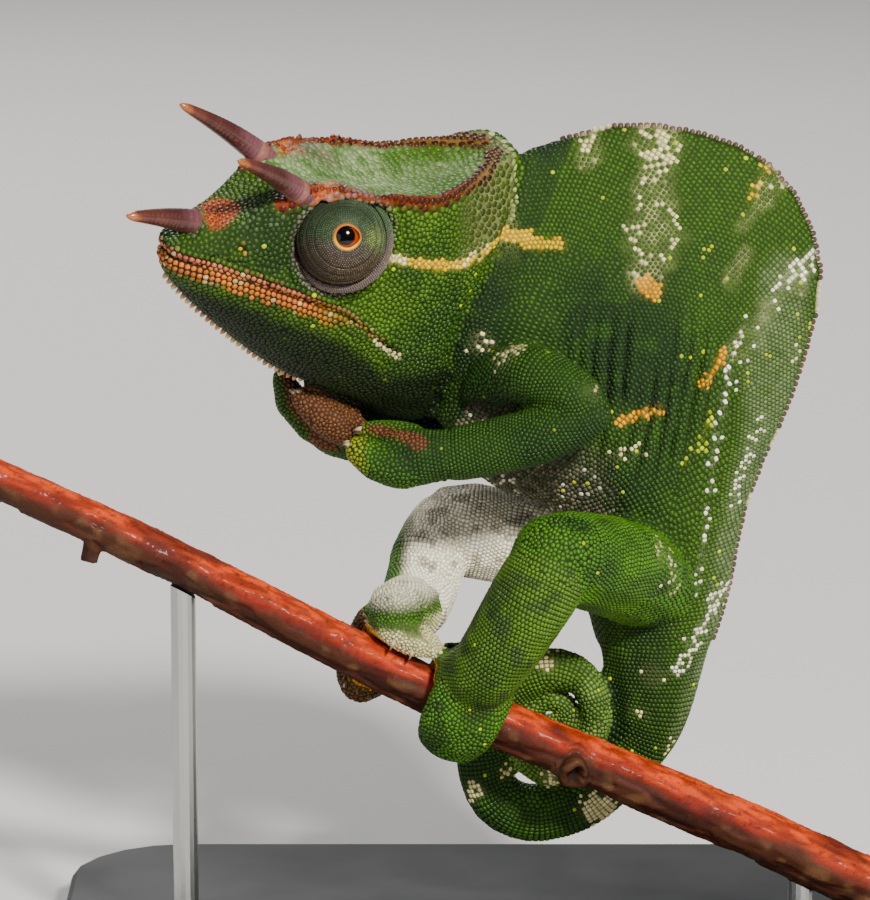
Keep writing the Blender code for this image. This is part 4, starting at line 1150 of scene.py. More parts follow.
def unwrapSkin(piece):
    # an unwrap of the skin's own shape, which the scales' bake places follow
    bpy.context.view_layer.objects.active = piece
    piece.select_set(True)
    piece.data.uv_layers.new(name="OFBake")
    bpy.ops.object.mode_set(mode="EDIT")
    bpy.ops.mesh.select_all(action="SELECT")
    bpy.ops.uv.smart_project(angle_limit=math.radians(66), island_margin=0.004)
    bpy.ops.object.mode_set(mode="OBJECT")
    piece.select_set(False)
    uv = np.zeros(len(piece.data.loops) * 2)
    piece.data.uv_layers["OFBake"].data.foreach_get("uv", uv)
    return uv.reshape(-1, 2)


skinPiece = addPiece("skin", skinMesh, fleshNames)
skinUv = unwrapSkin(skinPiece)
faceStart = np.zeros(len(skinMesh.polygons), int)
skinMesh.polygons.foreach_get("loop_start", faceStart)
scaleBake = skinUv[faceStart[scaleFaces]]
skinLuck, skinLuckTwo = dice.random(len(skin.points)), dice.random(len(skin.points))
# the skin between the scales takes the border colours, a little darker again: painted shade in the gaps
skinPaint = markingColours(skin.points, skinOwner, np.full(len(skin.points), "plain"), skinLuck, skinLuckTwo)[1]
skinPaint = 0.6 * skinPaint + 0.4 * skin.around(skinPaint)
paintMesh(skinMesh, skinPaint * 0.9)
skinMesh.polygons.foreach_set("use_smooth", np.ones(len(skinMesh.polygons), bool))
print("skin unwrapped and painted")

coatMake = {
    "sides": 8,             # corners of a scale
    "rootDepth": 0.14,      # how far a scale's foot reaches below the skin
    "shoulderAt": 0.7,      # height of its shoulder, as a share of the scale's height
    "shoulderRim": 0.06,    # how much border colour the shoulder keeps
    # the lighter top of each scale is a painted highlight
    "paintedTopHighlight": 1.08,        # the top is this much lighter
    "bakePatch": 0.0026,    # width of a scale's own patch on the unwrap
    # height, gap and shoulder of the flat scales on the casque's roof
    "roofScale": (0.04, 0.012, 0.92),
}
scaleLook = {
    # height, gap, how far the shoulder stands in, widest reach
    "plain": (0.11, 0.020, 0.84, 0.70),
    "row": (0.11, 0.020, 0.84, 0.70),
    "lip": (0.20, 0.03, 0.84, 0.55),
    "crest": (0.28, 0.02, 0.80, 0.62),
    "cone": (0.70, 0.05, 0.55, 0.6),
    "comb": (0.50, 0.03, 0.84, 0.62),
    "eye": (0.08, 0.03, 0.78, 0.62),
}


def scaleShapes(points, normals, sizes, kinds, owners, sides):
    # each scale's outline: where it meets the walls halfway to its neighbours
    near, facing = neighboursOf(points, normals, 14)
    helper = np.where(np.abs(normals[:, [1]]) > 0.8, np.array([[1.0, 0, 0]]), np.array([[0, 1.0, 0]]))
    first = unit(np.cross(normals, helper))
    second = np.cross(normals, first)
    offset = points[near] - points[:, None, :]
    a = np.einsum("nkj,nj->nk", offset, first)
    b = np.einsum("nkj,nj->nk", offset, second)
    length = np.hypot(a, b)
    wall = length * sizes[:, None] / (sizes[:, None] + sizes[near])
    angles = (np.arange(sides) + 0.5) * 2 * math.pi / sides
    turn = dice.random(len(points)) * 2 * math.pi / sides
    directionA = np.cos(angles[None, :] + turn[:, None])
    directionB = np.sin(angles[None, :] + turn[:, None])
    toward = (a[:, :, None] * directionA[:, None, :] + b[:, :, None] * directionB[:, None, :]) / \
        np.maximum(length, 1e-6)[:, :, None]
    blocked = (toward > 0.15) & facing[:, :, None] & (length > 0.05)[:, :, None]
    reach = np.where(blocked, wall[:, :, None] / np.maximum(toward, 0.15), 9.0).min(axis=1)
    look = np.array([scaleLook[kind] for kind in kinds])
    heights, gaps, shoulders, widest = look.T.copy()
    reach = np.minimum(reach, (sizes * widest)[:, None])
    roof = np.isin(owners, headNames) & (kinds == "plain") & casqueTop(toHead(points))
    heights, gaps, shoulders = (np.where(roof, flat, values)
                                for flat, values in zip(coatMake["roofScale"], (heights, gaps, shoulders)))
    reach = np.maximum(reach - gaps[:, None], 0.08)
    return first, second, directionA * reach, directionB * reach, heights, shoulders


def growCoat(points, normals, sizes, kinds, owners, colours, rimColours, bake, sides):
    # tens of thousands of fitted scales, laid out as arrays: two rings of corners and a top point each
    first, second, outA, outB, heights, shoulders = scaleShapes(points, normals, sizes, kinds, owners, sides)
    count = len(points)
    levels, paints, spots = [], [], []
    for spread, lift, rim in ((np.ones(count), np.full(count, -coatMake["rootDepth"]), 1.0),
                              (shoulders, heights * coatMake["shoulderAt"], coatMake["shoulderRim"])):
        level = points[:, None, :] + first[:, None, :] * (outA * spread[:, None])[:, :, None] \
            + second[:, None, :] * (outB * spread[:, None])[:, :, None] + normals[:, None, :] * lift[:, None, None]
        levels.append(level)
        # the foot ring takes the border colour, mostly painted shade at each scale's foot; the top point takes the
        # painted highlight
        tone = rimColours * rim + colours * (1 - rim)
        paints.append(np.repeat(tone[:, None, :], sides, axis=1))
        spots.append(bake[:, None, :]
                     + np.stack([outA, outB], axis=2) * (spread / sizes)[:, None, None] * coatMake["bakePatch"])
    top = (points + normals * heights[:, None])[:, None, :]
    everything = np.concatenate(levels + [top], axis=1).reshape(-1, 3)
    paint = np.concatenate(paints + [(colours * coatMake["paintedTopHighlight"])[:, None, :]], axis=1).reshape(-1, 3)
    uv = np.concatenate(spots + [bake[:, None, :]], axis=1).reshape(-1, 2)
    start = (np.arange(count) * (2 * sides + 1))[:, None]
    ring = np.arange(sides)
    follow = (ring + 1) % sides
    quads = np.stack([start + ring, start + follow, start + sides + follow, start + sides + ring], axis=2)
    tops = np.repeat(start + 2 * sides, sides, axis=1)
    tris = np.stack([start + sides + ring, start + sides + follow, tops], axis=2)
    return everything, quads.reshape(-1, 4), tris.reshape(-1, 3), paint, np.clip(uv, 0.001, 0.999)


def limbNames(side, arm):
    # the solids of one arm, or of one leg
    return tuple(name for name in fleshNames if side in name and ("arm" in name or "hand" in name) == arm)


# The coat is cut into pieces of fewer than 200,000 triangles.
coatGroups = {
    "coatHead": ("head",),
    "coatJaw": ("lower_jaw", "neck"),
    "coatBodyLeft": ("trunk", "pelvis"),
    "coatBodyRight": ("trunk", "pelvis"),
    "coatArmLeft": limbNames("left", True),
    "coatLegLeft": limbNames("left", False),
    "coatArmRight": limbNames("right", True),
    "coatLegRight": limbNames("right", False),
    "coatTail": tuple(name for name in fleshNames if name.startswith("tail")),
}
coatPoints, coatQuads, coatTris, coatPaint, coatUv = growCoat(
    scalePoints, scaleNormals, scaleSizes, scaleKinds, scaleOwners, scaleColours, scaleRims, scaleBake,
    coatMake["sides"])
coatPieces = []
pointsEach, facesEach = 2 * coatMake["sides"] + 1, coatMake["sides"]
for name, owners in coatGroups.items():
    chosen = np.isin(scaleOwners, owners)
    if name.startswith("coatBody"):
        chosen &= (scalePoints[:, 1] < 0) == (name == "coatBodyLeft")
    picked = np.nonzero(chosen)[0]
    pointPick = (picked[:, None] * pointsEach + np.arange(pointsEach)).ravel()
    facePick = (picked[:, None] * facesEach + np.arange(facesEach)).ravel()
    renumber = np.zeros(len(coatPoints), int)
    renumber[pointPick] = np.arange(len(pointPick))
    mesh = meshFromArrays(name, coatPoints[pointPick], renumber[coatQuads[facePick]], renumber[coatTris[facePick]],
                          coatPaint[pointPick], coatUv[pointPick])
    coatPieces.append(addPiece(name, mesh))
    print(name, len(picked), "scales,", len(picked) * 3 * facesEach, "triangles")


def eyeFrame(sign):
    # centre, sideways, upward and outward directions of one eye
    flip = np.array((1.0, sign, 1.0))
    centre = fromHead(np.array(headForm["eye"]) * flip)
    outward = unit(np.array(eyeForm["axis"]) * flip) @ headAxes
    upward = unit(headUp - outward * (headUp @ outward))
    sideways = np.cross(upward, outward)
    return centre, sideways, upward, outward


def placeEye(points, sign):
    # from the lathe's own axes to the head, the front part raised towards the gaze
    centre, sideways, upward, outward = eyeFrame(sign)
    front = smoothStep(0.5, 5.0, points[:, 2])
    x, y, z = points[:, 0], points[:, 1], points[:, 2]
    angle = math.radians(eyeForm["lift"]) * front
    y, z = y * np.cos(angle) + z * np.sin(angle), z * np.cos(angle) - y * np.sin(angle)
    angle = math.radians(eyeForm["lean"]) * front * sign
    x, z = x * np.cos(angle) + z * np.sin(angle), z * np.cos(angle) - x * np.sin(angle)
    return centre + x[:, None] * sideways + y[:, None] * upward + z[:, None] * outward


def lathe(name, profile, steps):
    # spins a line of radius and height round Z
    bm = bmesh.new()
    verts = [bm.verts.new((radius, 0.0, height)) for radius, height in profile]
    edges = [bm.edges.new(pair) for pair in zip(verts, verts[1:])]
    bmesh.ops.spin(bm, geom=verts + edges, cent=(0, 0, 0), axis=(0, 0, 1), angle=2 * math.pi, steps=steps,
                   use_merge=True)
    bmesh.ops.remove_doubles(bm, verts=bm.verts, dist=1e-4)
    bmesh.ops.recalc_face_normals(bm, faces=bm.faces)
    mesh = bpy.data.meshes.new(name)
    bm.to_mesh(mesh)
    bm.free()
    mesh.polygons.foreach_set("use_smooth", np.ones(len(mesh.polygons), bool))
    return mesh, vertexArray(mesh) * mm


def movePoints(mesh, points):
    mesh.vertices.foreach_set("co", (points * mm).ravel())
    mesh.update()


def eyeColours(points, chance):
    # dark green above, grey and bronze below; a pale green patch on the side the light comes from is a painted
    # highlight, and the fold grooves and the side towards the nose, away from the light, are darker by painted shade
    tone = {key: toLinear(eyeForm[key]) for key in ("green", "eyeHighlightGreen", "grey", "dark", "foldColour", "bronze")}
    x, y, z = points.T
    radius = np.hypot(x, y)
    noise = cloud(points + 40, 1.4, 3)
    colour = mix(tone["grey"], tone["green"], smoothStep(-1.0, 1.4, y + 0.35 * np.abs(x) + 1.6 * (noise - 0.5)))
    colour = mix(colour, tone["bronze"], 0.7 * smoothStep(2.0, 4.0, radius) * smoothStep(0.2, -2.5, y))
    # painted highlight on the cone's lit side
    colour = mix(colour, tone["eyeHighlightGreen"], 0.75 * np.exp(-((x - 3.4) / 1.1) ** 2 - ((y - 0.5) / 1.2) ** 2))
    # painted shade on the side towards the nose
    colour = mix(colour, tone["dark"], 0.5 * smoothStep(1.8, 4.6, radius) * smoothStep(0.8, -2.5, x) * (radius < 5.2))
    colour = mix(colour, tone["dark"], 0.35 * smoothStep(1.2, 3.0, y) * (radius < 4.0))
    colour = mix(colour, tone["dark"], 0.5 * (chance < 0.35))
    # painted shade in the fold grooves
    for ring in (3.60, 4.36, 4.90):
        colour = mix(colour, tone["dark"], 0.75 * hump(radius - ring, 0.09) * (z > 2.2))
    outer = (z < 1.6) & (radius > 5.2)
    colour[outer] = mix(tone["foldColour"], tone["green"], smoothStep(-1.5, 3.5, y))[outer]
    # painted shadow in the groove where the cone meets the head
    groove = hump(radius - 5.16, 0.10) * (z < 1.9)
    return mix(colour, tone["dark"] * 0.2, groove)


def makeEye(side, sign):
    # the cone's skin
    mesh, lathed = lathe("eyeCone_" + side, wholePath(eyeForm["profile"], 96), 96)
    radius = np.hypot(lathed[:, 0], lathed[:, 1])
    turn = np.arctan2(lathed[:, 1], lathed[:, 0])
    corner = 0.26 * np.clip(np.cos(turn - 0.15 if sign > 0 else turn + 0.15 - math.pi), 0, 1) ** 6 * (radius < 2.2)
    shaped = lathed.copy()
    shaped[:, :2] *= (1 + corner * (2.2 - radius) / np.maximum(radius, 0.1))[:, None]
    # the cone's skin shows only between the lid scales, so it is darkened to 0.3: painted shade in the gaps
    paint = eyeColours(lathed, dice.random(len(lathed))) * 0.3
    rim = smoothStep(1.62, 1.52, radius)
    rimTone = mix(toLinear(eyeForm["rimColour"]), toLinear(eyeForm["rimBright"]), smoothStep(0.5, -1.2, lathed[:, 1]))
    paint = paint * (1 - rim[:, None]) + rimTone * rim[:, None]
    # the seam at the cone's foot painted near black: painted shadow in the groove
    paint[(lathed[:, 2] < 1.9) & (radius > 5.0) & (radius < 5.3)] = toLinear(eyeForm["seam"])
    movePoints(mesh, placeEye(shaped, sign))
    paintMesh(mesh, paint)
    cone = addPiece("eyeCone_" + side, mesh)
    # the eyeball behind the opening
    ball = [(0.0, 5.86)] + [(r, 5.86 - 0.19 * r * r) for r in np.linspace(0.06, 1.75, 26)]
    mesh, lathed = lathe("eyeBall_" + side, ball, 64)
    shift = np.array(eyeForm["pupilShift"]) * (sign, 1.0)
    fromPupil = np.hypot(lathed[:, 0] - shift[0], lathed[:, 1] - shift[1])
    paint = mix(toLinear(eyeForm["pupil"]), toLinear(eyeForm["iris"]),
                smoothStep(eyeForm["pupilRadius"], eyeForm["pupilRadius"] + 0.09, fromPupil))
    edge = smoothStep(1.45, 1.7, np.hypot(lathed[:, 0], lathed[:, 1]))
    paint = mix(paint, toLinear(eyeForm["irisDark"]), 0.6 * edge)
    movePoints(mesh, placeEye(lathed, sign))
    paintMesh(mesh, paint)
    eyeball = addPiece("eyeBall_" + side, mesh, ("eye_" + side,))
    return cone, eyeball


def eyeScales(side, sign):
    # rings of fine scales round the lid opening, out to the last fold
    profile = smoothPath(eyeForm["profile"], np.linspace(4.6, len(eyeForm["profile"]) - 2, 400))
    walked = np.concatenate([[0], np.cumsum(np.linalg.norm(np.diff(profile, axis=0), axis=1))])
    step = eyeForm["rowStep"]
    points, normals, sizes = [], [], []
    for row in range(int(walked[-1] / step)):
        radius, height = (np.interp((row + 0.5) * step, walked, profile[:, k]) for k in range(2))
        if height < 1.5 and radius < 5.32:
            continue
        ahead = [np.interp((row + 0.7) * step, walked, profile[:, k]) for k in range(2)]
        slope = unit(np.array([ahead[0] - radius, ahead[1] - height]))
        count = int(2 * math.pi * radius / step)
        turn = (np.arange(count) + 0.5 * (row % 2)) * 2 * math.pi / count
        points.append(np.stack([radius * np.cos(turn), radius * np.sin(turn), np.full(count, height)], axis=1))
        out = np.array([-slope[1], slope[0]])
        normals.append(np.stack([out[0] * np.cos(turn), out[0] * np.sin(turn), np.full(count, out[1])], axis=1))
        sizes.append(np.full(count, step))
    points, normals, sizes = np.concatenate(points), np.concatenate(normals), np.concatenate(sizes)
    colours = eyeColours(points, dice.random(len(points))) * (0.8 + 0.45 * dice.random(len(points)))[:, None]
    placed = placeEye(points, sign)
    aimed = unit(placeEye(points + normals * 0.05, sign) - placed)
    polar = np.arctan2(np.hypot(points[:, 0], points[:, 1]), points[:, 2])
    turn = np.arctan2(points[:, 1], points[:, 0])
    bake = 0.5 + 0.2 * polar[:, None] * np.stack([np.cos(turn), np.sin(turn)], axis=1)
    kinds = np.full(len(points), "eye")
    # each lid scale's foot darkened to 0.3: painted shade between the scales
    made = growCoat(placed, aimed, sizes, kinds, kinds, colours, colours * 0.3, bake, 6)
    mesh = meshFromArrays("eyeScales_" + side, *made)
    return addPiece("eyeScales_" + side, mesh)


eyePieces, eyeBalls = [], []
for side, sign in (("left", 1), ("right", -1)):
    cone, ball = makeEye(side, sign)
    eyePieces += [cone, eyeScales(side, sign)]
    eyeBalls.append(ball)
print("eyes made")


# Horns: straight, ringed, each growing out of a pale collar of soft skin.
hornMake = {
    "rings": 190, "sides": 40, "ridgeStep": 0.62, "ridgeDepth": 0.010, "collarAt": 0.16,
    "collar": "a06a58", "base": "70444a", "middle": "46221f", "upper": "5a2c22", "tip": "a8602e",
}


def makeHorn(name, horn, sign, node):
    root, tip, radius = horn
    root, tip = (np.array(end) * (1.0, sign, 1.0) for end in (root, tip))
    length = np.linalg.norm(tip - root)
    tangent = (tip - root) / length
    across = unit(np.array((0.0, 1.0, 0.0)) - tangent * tangent[1])
    upward = np.cross(tangent, across)
    shares = np.linspace(0.0, 1.0, hornMake["rings"])
    size = radius * (1 - shares ** 1.5 * 0.72)
    close = shares > 0.9
    size[close] *= np.sqrt(np.maximum(1 - ((shares[close] - 0.9) / 0.1) ** 2, 0.0))
    warp = shares * length / hornMake["ridgeStep"] * 2 * math.pi
    warp = warp + 2.4 * np.sin(shares * 9.0) + 1.5 * np.sin(shares * 23.0)
    ridge = np.sin(warp) + 0.5 * np.sin(warp * 2.3 + 1.0)
    size *= 1 + hornMake["ridgeDepth"] * ridge * (1 - smoothStep(0.75, 0.95, shares)) - 0.03
    profile = list(zip(size[:-1], shares[:-1] * length)) + [(0.0, length * 0.997)]
    mesh, lathed = lathe(name, profile, hornMake["sides"])
    share = lathed[:, 2] / length
    wobble = cloud(lathed + 9, 1.3, 4) - 0.5
    bow = -headForm["hornBow"] * np.sin(math.pi * share)
    local = root + share[:, None] * (tip - root) + lathed[:, [0]] * across + (lathed[:, [1]] - bow[:, None]) * upward
    tone = {key: toLinear(hornMake[key]) for key in ("collar", "base", "middle", "upper", "tip")}
    paint = mix(tone["base"], tone["middle"], smoothStep(0.22, 0.5, share + 0.2 * wobble))
    paint = mix(paint, tone["upper"], smoothStep(0.6, 0.85, share + 0.2 * wobble))
    paint = mix(paint, tone["tip"], smoothStep(0.88, 1.0, share + 0.1 * wobble))
    paint = mix(paint, tone["collar"], 0.85 * hump(share - hornMake["collarAt"] + 0.03 * wobble, 0.035))
    rings = np.interp(share, shares, ridge)
    # the grooves between the rings a little darker: painted shade; wobble is the horn's own uneven tone
    paint *= (0.92 + 0.07 * rings + 0.25 * wobble)[:, None]
    movePoints(mesh, fromHead(local))
    paintMesh(mesh, paint)
    return addPiece(name, mesh, (node,))


hornPieces = [makeHorn("hornRostral", headForm["rostralHorn"], 1, "horn_rostral"),
              makeHorn("hornBrowLeft", headForm["browHorn"], 1, "horn_left"),
              makeHorn("hornBrowRight", headForm["browHorn"], -1, "horn_right")]
print("horns made")


# Claws: small hooked tips at the end of each bundle of toes.
clawMake = {
    # toes node: where its toes end, the way they point, across the toes, how many, half width
    "hand_left_outer_toes": ((-8.6, -12.3, 66.4), (-0.87, 0.1, 0.5), (0.0, 1.0, 0.1), 2, 0.9),
    "hand_left_inner_toes": ((-7.6, -9.0, 68.0), (-0.98, 0.0, 0.2), (0.1, 1.0, -0.2), 3, 0.8),
    "hand_right_outer_toes": ((-18.0, -2.4, 73.0), (-0.25, -0.35, 0.9), (0.5, -0.9, 0.0), 2, 0.8),
    "hand_right_inner_toes": ((-15.4, -5.6, 71.4), (-0.6, -0.25, 0.75), (0.5, -0.8, 0.2), 3, 0.8),
    "length": 1.25, "radius": 0.27, "hook": 0.45, "colour": "cbb089", "tip": "5f4a36",
}


def clawLines():
    # root and way of every claw
    lines = []
    for node, value in clawMake.items():
        if isinstance(value, tuple):
            end, way, across, count, half = value
            lines.append((node, np.array(end), unit(np.array(way)), unit(np.array(across)), count, half,
                          np.array((0.0, -0.3, -1.0))))
    front = np.array((0.0, -1.0, 0.0))
    top = -np.cross(branchForward, front)
    for node, x, turn, spin, count, half in (("foot_left_outer_toes", 3.2, -72, -1, 3, 2.4),
                                             ("foot_left_inner_toes", 1.8, 226, 1, 2, 1.6),
                                             ("foot_right_inner_toes", -5.5, 54, -1, 2, 1.5),
                                             ("foot_right_outer_toes", -7.4, 252, 1, 3, 2.0)):
        share = (x - branchForm["left"][0]) / (branchForm["right"][0] - branchForm["left"][0])
        centre, radius = branchPath(share)
        angle = math.radians(turn)
        outward = front * math.cos(angle) + top * math.sin(angle)
        way = (top * math.cos(angle) - front * math.sin(angle)) * spin
        lines.append((node, centre[0] + outward * (radius[0] + 1.1), unit(way), branchForward, count, half, -outward))
    return lines


def makeClaws():
    profile = [(0.0, -0.35)] + [(clawMake["radius"] * math.sqrt(1 - share ** 1.3), share * clawMake["length"])
                                for share in np.linspace(0, 0.985, 9)] + [(0.0, clawMake["length"])]
    bm = bmesh.new()
    tones = []
    for node, end, way, across, count, half, hookWay in clawLines():
        chosen = skin.points[skinOwner == node]
        for number in range(count):
            place = (number / (count - 1) - 0.5) * 2 * half
            sideways = (chosen - end) @ across
            near = chosen[np.abs(sideways - place) < 0.5]
            if len(near) < 3:
                continue
            ahead = (near - end) @ way
            root = near[np.argsort(ahead)[-6:]].mean(axis=0) - way * 0.25
            mesh, lathed = lathe("claw", profile, 10)
            share = np.clip(lathed[:, 2] / clawMake["length"], 0, 1)
            third = np.cross(way, across)
            points = root + way * lathed[:, [2]] + across * lathed[:, [0]] + third * lathed[:, [1]] * 1.2 \
                + unit(hookWay) * (clawMake["hook"] * share ** 2)[:, None]
            movePoints(mesh, points)
            bm.from_mesh(mesh)
            bpy.data.meshes.remove(mesh)
            tones.append(mix(toLinear(clawMake["colour"]), toLinear(clawMake["tip"]), smoothStep(0.2, 0.9, share)))
    mesh = bpy.data.meshes.new("claws")
    bm.to_mesh(mesh)
    bm.free()
    mesh.polygons.foreach_set("use_smooth", np.ones(len(mesh.polygons), bool))
    paintMesh(mesh, np.concatenate(tones))
    return addPiece("claws", mesh)


clawPiece = makeClaws()
print("claws made")


# Perch: smooth red bark where feet have polished it, grey and flaking below; its top painted a lighter orange as
# painted light and its underside darker as painted shade.
barkMake = {
    "grain": 0.30, "flakeHeight": 0.26, "lenticelHeight": 0.10,
    "polished": "781600", "glow": "c44000", "wearAndUnderShade": "340a00", "flake": "3c1c0a", "greyFlake": "5e3e22",
    "crack": "24120a", "wood": "c09468", "woodDark": "85592f",
}


def makeBranch():
    mesh = remeshed(mergedCopy("perch_branch"), "perchBark", barkMake["grain"])
    bark = Surface(mesh)
    bark.smooth(6)
    normal = bark.normals()
    start, end = np.array(branchForm["left"]), np.array(branchForm["right"])
    share = ((bark.points - start) @ (end - start)) / ((end - start) @ (end - start))
    centre, radius = branchPath(np.clip(share, 0, 1))
    outward = bark.points - centre
    outward -= (outward @ branchForward)[:, None] * branchForward
    reach = np.linalg.norm(outward, axis=1)
    outward = unit(outward)
    up = outward[:, 2]
    stretched = bark.points - branchForward * ((bark.points @ branchForward) * 0.75)[:, None]
    flaky = smoothStep(0.42, -0.08, up + 0.8 * (cloud(bark.points, 5.0, 41) - 0.5))
    plates = cloud(stretched, 0.9, 42)
    fine = cloud(stretched, 0.42, 43)
    grit = cloud(bark.points, 0.33, 49)
    cut = np.abs(normal @ branchForward) > 0.8
    side = ~cut
    push = side * flaky * barkMake["flakeHeight"] * (smoothStep(0.42, 0.5, plates) - 0.5)
    push += side * (0.16 * (fine - 0.5) + 0.09 * (grit - 0.5))
    push += side * (1 - flaky) * (0.22 * (cloud(bark.points, 2.2, 44) - 0.5) + 0.10 * (plates - 0.5))
    squeezed = bark.points + branchForward * ((bark.points @ branchForward) * 1.2)[:, None]
    lenticel = smoothStep(0.84, 0.90, cloud(squeezed, 0.8, 45)) * (1 - 0.6 * flaky)
    push += side * barkMake["lenticelHeight"] * lenticel
    knotCentre, knotRadius = branchPath(branchForm["knotAlong"])
    knotPlace = knotCentre[0] + np.array((0.0, -0.82, -0.55)) * knotRadius[0]
    gap = np.linalg.norm((bark.points - knotPlace)[:, [0, 2]] * (1.15, 0.85), axis=1)
    gap = np.maximum(gap + 0.9 * (cloud(bark.points, 0.9, 50) - 0.5), 0)
    front = bark.points[:, 1] < knotCentre[0][1]
    # the knot: a raised ring round a hole, with ripples in the bark about it
    push += side * front * (0.34 * hump(gap - 1.5, 0.3) - 1.1 * hump(gap, 0.8)
                            + 0.16 * np.sin(gap * 7.0 + 3.0 * fine) * hump(gap - 2.5, 0.9))
    bark.points += normal * push[:, None]
    bark.write()
    tone = {key: toLinear(value) for key, value in barkMake.items() if isinstance(value, str)}
    # glow lightens the top, where the light falls: painted light
    paint = mix(tone["polished"], tone["glow"], smoothStep(0.1, 0.8, up) * (0.3 + 0.7 * smoothStep(0.35, 0.65, fine)))
    paint = mix(paint, tone["wearAndUnderShade"], smoothStep(0.48, 0.72, cloud(stretched, 1.5, 46)) * 0.7)
    # darker underneath: painted shade; the same dark brown also gives the worn patches above
    paint = mix(paint, tone["wearAndUnderShade"], smoothStep(0.35, -0.25, up) * 0.75)
    paint = mix(paint, tone["crack"], smoothStep(0.72, 0.85, grit) * 0.55)
    paint = mix(paint, tone["flake"], flaky * (0.55 + 0.4 * smoothStep(0.4, 0.6, plates)))
    paint = mix(paint, tone["greyFlake"], flaky * smoothStep(0.55, 0.8, cloud(bark.points, 1.6, 47)) * 0.7)
    paint = mix(paint, tone["crack"], flaky * (1 - smoothStep(0.3, 0.46, plates)) * 0.7)
    paint = mix(paint, tone["greyFlake"], lenticel * 0.35)
    paint = mix(paint, tone["flake"], front * smoothStep(3.2, 1.8, gap + 1.2 * (plates - 0.5)) * 0.8)
    paint = mix(paint, tone["greyFlake"], front * hump(gap - 1.5, 0.3) * 0.25)
    # the hole painted near black: dark wood inside it and painted shade in its hollow
    paint = mix(paint, tone["crack"] * 0.5, front * np.exp(-(gap / 0.95) ** 4))
    paint = mix(paint, tone["crack"], front * hump(gap - 2.1, 0.22) * 0.6)
    ends = cut & ((share < 0.02) | (share > 0.98))
    yearRings = 0.5 + 0.5 * np.sin(reach / 0.33 * 2 * math.pi + 2.0 * cloud(bark.points, 1.5, 48))
    wood = mix(tone["wood"], tone["woodDark"], yearRings * 0.5)
    wood = mix(wood, tone["crack"], smoothStep(0.86, 0.95, reach / radius) * 0.8)
    paint[ends] = wood[ends]
    paint *= (0.85 + 0.3 * fine)[:, None]
    mesh.polygons.foreach_set("use_smooth", np.ones(len(mesh.polygons), bool))
    paintMesh(mesh, paint)
    return addPiece("perchBark", mesh, ("perch_branch",))


branchPiece = makeBranch()
print("branch made:", len(branchPiece.data.polygons), "faces")


# Materials: everything on the animal and its perch is painted point by point, so they share one kind.
def scaleMaterial(name, roughness, shine, bumpSize, grainSize=0.35):
    # keratin scales: a smooth waxy skin with a soft gloss and fine grain in its colour
    material, tree, shader = newMaterial(name, {"Roughness": roughness, "Specular IOR Level": 0.22,
                                                "Coat Weight": shine, "Coat Roughness": 0.12})
    paint = addNode(tree, "ShaderNodeAttribute", {"attribute_name": "coatColour"})
    place = addNode(tree, "ShaderNodeTexCoord")
    grain = addNode(tree, "ShaderNodeTexNoise", {"Scale": 1 / (grainSize * mm), "Detail": 3.0},
                    {"Vector": place.outputs["Object"]})
    shade = addNode(tree, "ShaderNodeMapRange", {"From Min": 0.3, "From Max": 0.7, "To Min": 0.8, "To Max": 1.15},
                    {"Value": grain.outputs["Fac"]})
    colour = addNode(tree, "ShaderNodeVectorMath", {"operation": "SCALE"},
                     {0: paint.outputs["Color"], "Scale": shade.outputs["Result"]})
    tree.links.new(colour.outputs["Vector"], shader.inputs["Base Color"])
    bump = addNode(tree, "ShaderNodeBump", {"Strength": 0.25, "Distance": bumpSize * mm},
                   {"Height": grain.outputs["Fac"]})
    tree.links.new(bump.outputs["Normal"], shader.inputs["Normal"])
    return material


def dress(pieces, material):
    for piece in pieces:
        piece.data.materials.clear()
        piece.data.materials.append(material)


dress([skinPiece], scaleMaterial("softSkinBetweenScales", 0.75, 0.0, 0.05))
dress(coatPieces, scaleMaterial("waxyKeratinScales", 0.45, 0.10, 0.06))
dress(eyePieces, scaleMaterial("fineLidScales", 0.5, 0.08, 0.03, 0.2))
dress(eyeBalls, scaleMaterial("wetCornea", 0.05, 0.25, 0.0, 0.5))
dress(hornPieces + [clawPiece], scaleMaterial("ringedHornKeratin", 0.30, 0.5, 0.05, 0.3))
dress([branchPiece], scaleMaterial("polishedAndFlakingBark", 0.68, 0.03, 0.3, 0.22))


def standPaint():
    # satin black lacquer sprayed on steel plate: faint orange peel, slightly uneven gloss
    material, tree, shader = newMaterial("satinLacquer", {"Coat Weight": 0.3, "Coat Roughness": 0.2})
    place = addNode(tree, "ShaderNodeTexCoord")
    where = {"Vector": place.outputs["Object"]}
    peel = addNode(tree, "ShaderNodeTexNoise", {"Scale": 1 / (0.8 * mm), "Detail": 2.0}, where)
    handled = addNode(tree, "ShaderNodeTexNoise", {"Scale": 1 / (18 * mm), "Detail": 4.0}, where)
    tone = addNode(tree, "ShaderNodeValToRGB", {}, {"Fac": handled.outputs["Fac"]})
    tone.color_ramp.elements[0].position, tone.color_ramp.elements[1].position = 0.35, 0.7
    tone.color_ramp.elements[0].color = colourOf("1b1b1c")
    tone.color_ramp.elements[1].color = colourOf("29292a")
    gloss = addNode(tree, "ShaderNodeMapRange", {"To Min": 0.28, "To Max": 0.46}, {"Value": handled.outputs["Fac"]})
    bump = addNode(tree, "ShaderNodeBump", {"Strength": 0.12, "Distance": 0.05 * mm},
                   {"Height": peel.outputs["Fac"]})
    tree.links.new(tone.outputs["Color"], shader.inputs["Base Color"])
    tree.links.new(gloss.outputs["Result"], shader.inputs["Roughness"])
    tree.links.new(bump.outputs["Normal"], shader.inputs["Normal"])
    return material


